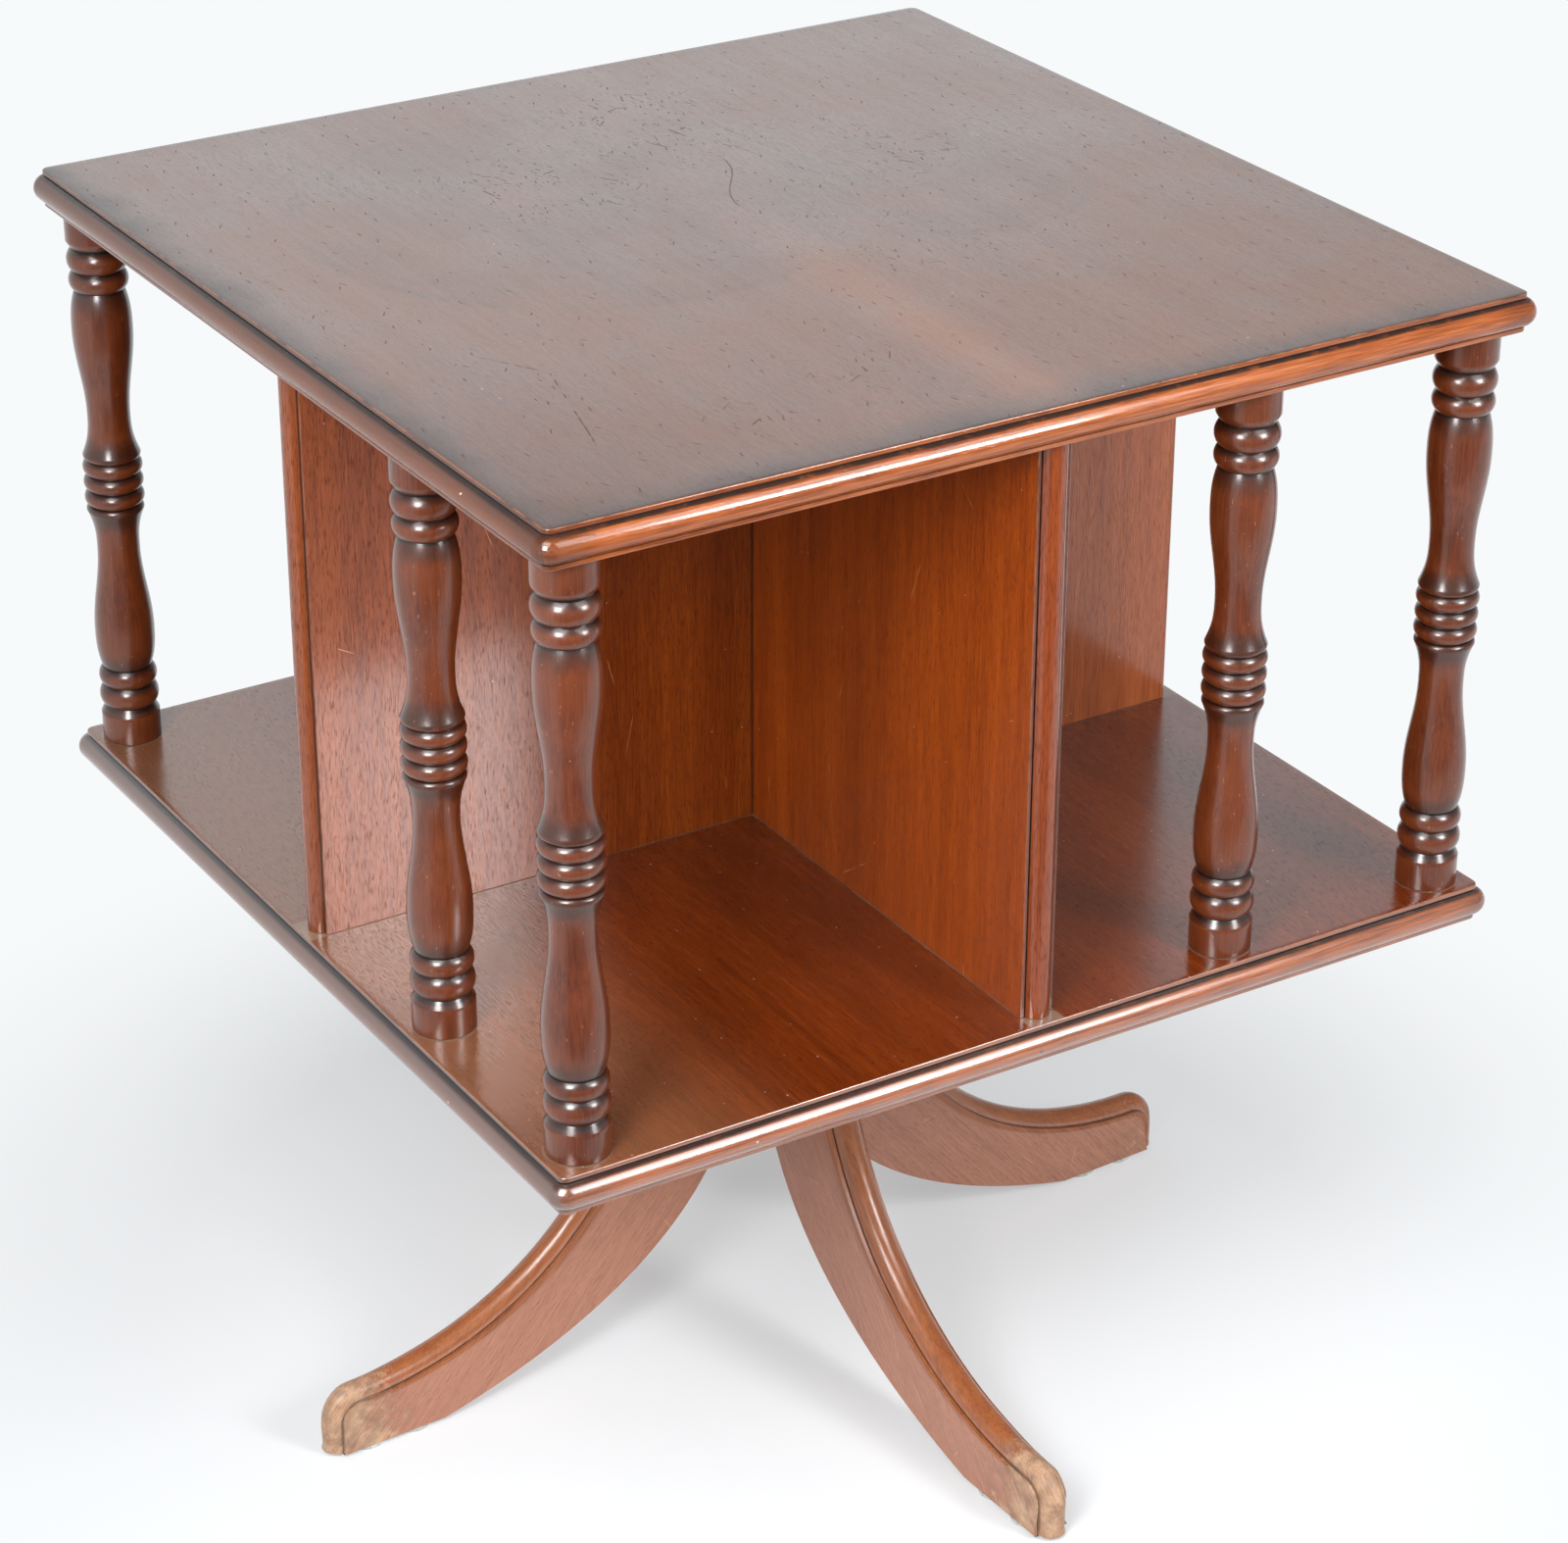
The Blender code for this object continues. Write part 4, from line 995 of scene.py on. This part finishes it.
def top_marks(m, place):
    """Dark knocks on the top: flecks in clusters and strewn, and a few long marks."""
    near = 0.0
    for spot, reach in TOP_CLUSTERS:
        near = m.most(near, m.fade(m.plan_distance(place, spot), reach, reach * 0.3))
    clusters = near * m.patches(place, *CLUSTER_PATCHES)
    flecks = m.most(m.dashes(place, *FINE_FLECKS), m.dashes(place, *COARSE_FLECKS)) * clusters
    marks = m.most(flecks, m.dashes(place, *STREWN_FLECKS))
    broken = m.patches(place, *BROKEN_PATCHES)
    for start, end in TOP_LONG_MARKS:
        marks = m.most(marks, m.line(place, start, end, LONG_MARK_WIDTH) * broken)
    return m.most(marks, curved_mark(m, place))


def top_finish():
    """The top: grey-brown under its polish, scratched, cloudy, and darker along its edges."""
    m = wood("mahogany_top", TOP_TONES, roughness=0.26, pores=0.4, contrast=0.5)
    place = m.place()
    x, y, _ = m.split(place)
    cloud = m.patches(place, *CLOUD_PATCHES)
    m.cover(cloud, *TOP_CLOUD)
    faint = m.fade(m.patch, 0.3, 0.6)
    for spot, radius in TOP_RINGS:
        gap = m.plan_distance(place, spot)
        inside = m.fade(gap, radius, radius - 12 * MM)
        rim = m.fade(abs(gap - radius), 7 * MM, 1 * MM)
        m.cover(m.most(inside * 0.30, rim * 0.35) * faint, *TOP_STAIN)
    m.cover(m.fade(abs(x), STREAK_HALF_WIDTH, 0.0) * m.fade(y, *STREAK_FADE), *TOP_STREAK)
    edge = m.most(x * -1.0, y * -1.0, m.most(x, y) - FAR_BORDER_LESS)
    ragged = m.noise(place, 40 * MM, 3.0) * (24 * MM) + edge
    border = m.fade(ragged, BOARD_HALF - 22 * MM, BOARD_HALF + 13 * MM)
    m.cover(border, *TOP_BORDER)
    smoke = m.fade(m.plan_distance(place, (-BOARD_HALF, -BOARD_HALF)), SMOKE_REACH, 0.0)
    m.cover(smoke, *TOP_SMOKE)
    marks = top_marks(m, place)
    m.cover(marks, *TOP_MARK)
    m.cover(m.dashes(place, *TOP_SPECKS), *TOP_SPECK)
    upward = lipping(m, TOP_LOW.z, TOP_HIGH.z)
    age(m, BOARD_GRIME, BOARD_RUB_AND_HIGHLIGHT)
    lost = m.fade(y, 100 * MM, -220 * MM) * 0.18 + cloud * 0.24 + m.fade(m.streak, 0.35, 0.65) * 0.10
    lost = m.most(lost, marks * 0.8, border * 0.55)
    lost = m.most(smoke * 0.22 + lost, m.pore * 0.25)
    polish = (upward * 0.4 + 0.6) * (1.0 - lost)
    return m.done(0.10 * MM, Coat_Weight=polish, Coat_Roughness=0.12, Coat_IOR=1.92)


def shelf_finish():
    """The shelf: red-brown, paler along its left edge, with dust against what stands on it."""
    m = wood("mahogany_shelf", SHELF_TONES, roughness=0.27, pores=0.5, contrast=0.6)
    place = m.place()
    x, y, _ = m.split(place)
    # Paler towards the left edge
    m.cover(m.fade(x, -110 * MM, -210 * MM), *SHELF_PALER_LEFT)
    distance = m.least(abs(x), abs(y)) - PANEL_HALF
    for name in SPINDLES:
        spot = middle_of(name)
        distance = m.least(distance, m.plan_distance(place, (spot.x, spot.y)) - COLLAR_RADIUS)
    uneven = m.noise(place, 6 * MM, 3.0)
    m.cover(m.fade(uneven * (-1.6 * MM) + distance, 0.2 * MM, -0.7 * MM), *SHELF_DUST)
    m.cover(m.dashes(place, *SHELF_SPECKS), *SHELF_SPECK)
    upward = lipping(m, SHELF_LOW.z, SHELF_HIGH.z)
    age(m, BOARD_GRIME, BOARD_RUB_AND_HIGHLIGHT)
    polish = 1.0 - m.pore * upward * 0.4
    return m.done(0.12 * MM, Coat_Weight=polish, Specular_IOR_Level=0.1, Coat_Roughness=0.21,
                  Coat_IOR=2.35)


def divider_finish(name, tones):
    """A divider: paler towards +X as painted light, a few pale scratches, and dirt by its beads and at the
    crossing.
    """
    m = wood("mahogany_" + name, tones, roughness=0.36, pores=0.5, contrast=0.8)
    x, y, z = m.split(m.place())
    pale = m.ramp(m.sum((m.figure, 0.7), (m.streak, 0.5), (m.fibre, 0.7)), PAINTED_LIGHT_HALF_RAMP)
    # Painted light: the +X half is made paler, standing in for the brighter light and sheen on that half
    m.cover(m.fade(x, 30 * MM, 110 * MM), 0.55, pale)
    out = m.most(abs(x), abs(y))
    fillet = PANEL_REACH - PANEL_BEAD_PROUD
    face = m.fade(out, fillet - 3 * MM, fillet - 7 * MM)
    m.cover(m.fade(out, fillet + 0.2 * MM, fillet + 0.6 * MM), *DIVIDER_BEAD)
    wall = m.flat(x + y, z)
    faint = m.patches(m.grain, *SCRATCH_PATCHES)
    m.cover(m.dashes(wall, *DIVIDER_SCRATCHES) * face * faint, *DIVIDER_SCRATCH)
    m.cover(m.dashes(wall, *DIVIDER_SPECKS) * face, *DIVIDER_SPECK)
    step = m.fade(abs(out - fillet), 0.5 * MM, 0.15 * MM)
    crossing = m.fade(out, PANEL_HALF + 1.6 * MM, PANEL_HALF + 0.3 * MM)
    m.cover(m.most(step, crossing), *DIVIDER_DIRT)
    age(m, DIVIDER_GRIME, DIVIDER_RUB_AND_HIGHLIGHT)
    polish = 1.0 - m.pore * 0.6
    return m.done(0.10 * MM, Coat_Weight=polish, Specular_IOR_Level=0.1, Coat_Roughness=0.18,
                  Coat_IOR=1.66)


def spindle_finish():
    """The spindles: dark and glossy, with polish built up in their grooves and necks, and darkened where
    they face up, partly built-up polish and partly painted shade.
    """
    m = wood("mahogany_spindle", SPINDLE_TONES, roughness=0.36, pores=0.3, contrast=0.6)
    level = abs(m.split(m.place())[2] - (CLEAR_LOW + CLEAR_HIGH) / 2)
    ring_end = COLLAR_LENGTH + COLLAR_CHAMFER + LARGE_RING[0] + SMALL_RING[0]
    neck = (CLEAR_HIGH - CLEAR_LOW) / 2 - ring_end
    m.cover(m.patches(m.grain, *RUBBED_PATCHES), *SPINDLE_RUBBED)
    uneven = m.noise(m.grain, 8 * MM, 3.0)
    inward = neck - level
    in_neck = m.fade(uneven * (9 * MM) + inward, 17 * MM, 7 * MM) * m.fade(inward, -1 * MM, 0.5 * MM)
    beyond_lip = uneven * (8 * MM) + (level - (1.5 * MIDDLE_RING[0] + LIP_WIDTH))
    waist = m.fade(beyond_lip, 16 * MM, 8 * MM) * m.fade(beyond_lip, 1 * MM, 4 * MM)
    m.cover(m.most(in_neck, waist), *SPINDLE_PATINA)
    # Painted shade with polish: faces that look up are darkened by how far they tilt up, partly for polish
    # built up on them and partly in place of the dark they reflect from overhead
    upward = m.noise(m.grain, 5 * MM, 3.0) * 0.2 + m.tilt()
    m.cover(m.fade(upward, 0.25, 0.75), *SPINDLE_UPWARD_SHADE_AND_POLISH)
    m.cover(m.patches(m.grain, *SCUFF_PATCHES), *SPINDLE_SCUFF)
    age(m, SPINDLE_GRIME, SPINDLE_RUB_AND_HIGHLIGHT)
    return m.done(0.05 * MM, Coat_Weight=1.0, Specular_IOR_Level=0.2, Coat_Roughness=0.21, Coat_IOR=1.5)


def leg_finish():
    """The legs: dull salmon-brown sides, a polished bead, and bare scuffed wood at the toes."""
    m = wood("mahogany_leg", LEG_TONES, roughness=0.44, pores=0.35, contrast=0.4)
    bead = m.ramp(m.sum((m.streak, 0.5), (m.fibre, 0.6)), LEG_BEAD_RAMP)
    m.cover(m.fade(m.relief, 0.02, 0.08), 1.0, bead, roughness=0.24)
    bare = m.attribute("bare", "Fac")
    broad = m.noise(m.grain, 9 * MM, 3.0)
    scraped = m.noise(m.grain, (7 * MM, 7 * MM, 1.2 * MM), 3.0)
    patchy = m.sum((broad, 1.3), (scraped, 0.5), (m.fibre, 0.3))
    worn = m.fade(bare + (patchy * 0.9 - 0.45), 0.42, 0.85)
    timber = m.ramp(m.sum((m.fibre, 0.6), (broad, 0.8)), BARE_RAMP)
    m.cover(worn, 0.9, timber, roughness=0.75, height=-0.3)
    m.cover(m.fade(bare, 0.05, 0.6) * m.patches(m.grain, *TOE_DIRT_PATCHES), *LEG_DIRT)
    across, _, along = m.split(m.grain)
    flat_side = m.fade(abs(m.relief), 0.015, 0.005)
    m.cover(m.dashes(m.flat(across, along), *LEG_SCRATCHES) * flat_side, *LEG_SCRATCH)
    age(m, LEG_GRIME, LEG_RUB_AND_HIGHLIGHT, grime_share=bare * -0.45 + 1.0)
    return m.done(0.12 * MM, Coat_Weight=0.25, Coat_Roughness=0.25, Coat_IOR=1.5)


def plain(name, size, detail, stops, spread, roughness, height):
    """One stuff all through: noise sets its colour, its roughness over a spread, and its height."""
    m = Finish(name)
    fine = m.noise(m.place(), size, detail)
    m.colour = m.ramp(fine, stops)
    m.roughness = m.sum((fine, spread)) + (roughness - 0.5)
    m.height = fine * height
    return m


def steel_finish():
    size = (0.6 * MM, 0.6 * MM, 4 * MM)
    m = plain("plain_steel", size, 2.0, STEEL_RAMP, spread=0.2, roughness=0.34, height=0.3)
    m.cover(m.patches(m.place(), *STEEL_PATCHES), *STEEL_SPOT)
    return m.done(0.03 * MM, Metallic=1.0)


def fibre_finish():
    m = plain("dull_fibre", 1.2 * MM, 3.0, FIBRE_RAMP, spread=0.2, roughness=0.8, height=0.5)
    return m.done(0.05 * MM)


def glide_finish():
    m = plain("clear_plastic", 5 * MM, 4.0, GLIDE_RAMP, spread=0.3, roughness=0.28, height=0.4)
    return m.done(0.1 * MM, Transmission_Weight=0.35, IOR=1.45)


def add_pieces():
    """Every finer piece, on the body of the node that it stands for."""
    boards = (("top", TOP_LOW, TOP_HIGH, top_finish()), ("shelf", SHELF_LOW, SHELF_HIGH, shelf_finish()))
    for number, (name, low, high, finish) in enumerate(boards):
        mesh = board_mesh(name, low, high, number)
        add_piece(name, mesh, name + "_board", "case", finish)
    dividers = (("side_to_side", 0.0, True), ("front_to_back", QUARTER_TURN, False))
    for number, (name, yaw, slot_from_top) in enumerate(dividers, DIVIDER_NUMBER):
        mesh = divider_mesh("panel_" + name, yaw, slot_from_top, number)
        finish = divider_finish(name, DIVIDER_TONES[name])
        add_piece("panel_" + name, mesh, "divider_" + name, "case", finish)
    turned = spindle_finish()
    for number, node in enumerate(sorted(SPINDLES), SPINDLE_NUMBER):
        mesh = spindle_mesh(node, number)
        add_piece("turned_" + node, mesh, node, "case", turned)
    leg, glide = leg_finish(), glide_finish()
    add_piece("turned_hub", hub_mesh("hub"), "hub", "base", leg)
    for number, side in enumerate(SIDES):
        yaw = LEG_YAW + number * QUARTER_TURN
        mesh = leg_mesh("leg_" + side, yaw, LEG_NUMBER + number, TOE_WEAR[side])
        add_piece("sabre_leg_" + side, mesh, "leg_" + side, "base", leg)
        for spot in ("outer_" + side, "inner_" + side):
            mesh = glide_mesh("glide_" + spot, number)
            add_piece("pad_" + spot, mesh, "glide_" + spot, "base", glide)


def dress_cad_nodes():
    """Steel and fibre for the swivel's pieces, which keep their CAD shapes."""
    steel = steel_finish()
    dressed = {name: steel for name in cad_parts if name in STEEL_NODES or "screw" in name}
    dressed["thrust_washer"] = fibre_finish()
    for name, material in dressed.items():
        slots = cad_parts[name].data.materials
        slots.clear()
        slots.append(material)


def add_floor():
    """A white sheet that keeps the table's shadow and runs into the white of the backdrop."""
    near = ((-FLOOR_RADIUS, -FLOOR_FRONT), (FLOOR_RADIUS, -FLOOR_FRONT))
    far = ((FLOOR_RADIUS, FLOOR_RADIUS), (-FLOOR_RADIUS, FLOOR_RADIUS))
    mesh = bpy.data.meshes.new("floor")
    corners = [CAMERA_RIGHT * x + CAMERA_AHEAD * y for x, y in near + far]
    mesh.from_pydata(corners, [], [(0, 1, 2, 3)])
    floor = put("floor", mesh)
    m = Finish("white_floor")
    m.give(m.shader.inputs["Base Color"], FLOOR_COLOUR)
    m.give(m.shader.inputs["Roughness"], FLOOR_ROUGHNESS)
    m.give(m.shader.inputs["Specular IOR Level"], FLOOR_SPECULAR)
    place = m.place()
    distance = m.vector("LENGTH", place, output="Value")
    depth = m.vector("DOT_PRODUCT", place, CAMERA_AHEAD, output="Value")
    whiteness = m.most(m.fade(distance, *FLOOR_FADE), m.fade(depth, *FLOOR_FRONT_FADE), LEAST_WHITE)
    white = m.node("Emission", {"Color": BACKDROP_COLOUR, "Strength": 1.0}, 0)
    seen = m.most(*m.node("LightPath", {}, *SEEN_RAYS))
    inputs = {0: whiteness * seen, 1: Value(m, m.shader.outputs[0]), 2: white}
    surface = m.node("MixShader", inputs, 0)
    m.give(m.tree.nodes["Material Output"].inputs["Surface"], surface)
    mesh.materials.append(m.material)


def add_backdrop():
    """The world: a white backdrop behind the table in a darker room. The camera sees it as white."""
    world = bpy.data.worlds.new("studio")
    world.use_nodes = True
    bpy.context.scene.world = world
    w = Nodes(world.node_tree)
    way = w.node("TexCoord", {}, "Generated")
    behind = w.vector("DOT_PRODUCT", way, BACKDROP_WAY, output="Value")
    height = w.split(way)[2]
    wall = w.fade(behind, *BACKDROP_TURN) * (1.0 - w.fade(height, *BACKDROP_TOP))
    room = w.blend(w.fade(height, *BEYOND_EDGE), BEYOND_STRENGTH, ROOM_STRENGTH)
    room = w.blend(w.fade(height, *CEILING_EDGE), room, CEILING_STRENGTH)
    room = w.blend(wall, room, BACKDROP_STRENGTH)
    camera, glossy, through = w.node("LightPath", {}, *SEEN_RAYS)
    seen = w.most(camera, w.most(glossy, through) * wall)
    background = world.node_tree.nodes["Background"]
    w.give(background.inputs["Color"], BACKDROP_COLOUR)
    w.give(background.inputs["Strength"], w.blend(seen, room, 1.0))


def add_softboxes():
    for name, place, size, power in SOFTBOXES:
        data = bpy.data.lights.new(name, "AREA")
        data.shape = "RECTANGLE"
        data.size, data.size_y = size
        data.energy = power
        data.spread = SOFTBOX_SPREAD
        lamp = put(name, data)
        lamp.location = place
        aim = Vector(SOFTBOX_AIM) - Vector(place)
        lamp.rotation_euler = aim.to_track_quat("-Z", "Y").to_euler()
        lamp.visible_camera = False


def add_camera():
    data = bpy.data.cameras.new("camera")
    data.sensor_fit = "HORIZONTAL"
    data.sensor_width = SENSOR_WIDTH
    data.lens = CAMERA_LENS
    down = Vector((0, 0, -math.sin(CAMERA_ELEVATION)))
    ahead = CAMERA_AHEAD * math.cos(CAMERA_ELEVATION) + down
    turn = Matrix((CAMERA_RIGHT, CAMERA_RIGHT.cross(ahead), -ahead)).transposed()
    turn = turn @ Matrix.Rotation(CAMERA_ROLL, 3, "Z")
    camera = put("camera", data)
    camera.matrix_world = Matrix.Translation(CAMERA_PLACE) @ turn.to_4x4()
    bpy.context.scene.camera = camera


add_pieces()
dress_cad_nodes()
add_floor()
add_backdrop()
add_softboxes()
add_camera()
bpy.context.scene.view_settings.view_transform = "Standard"
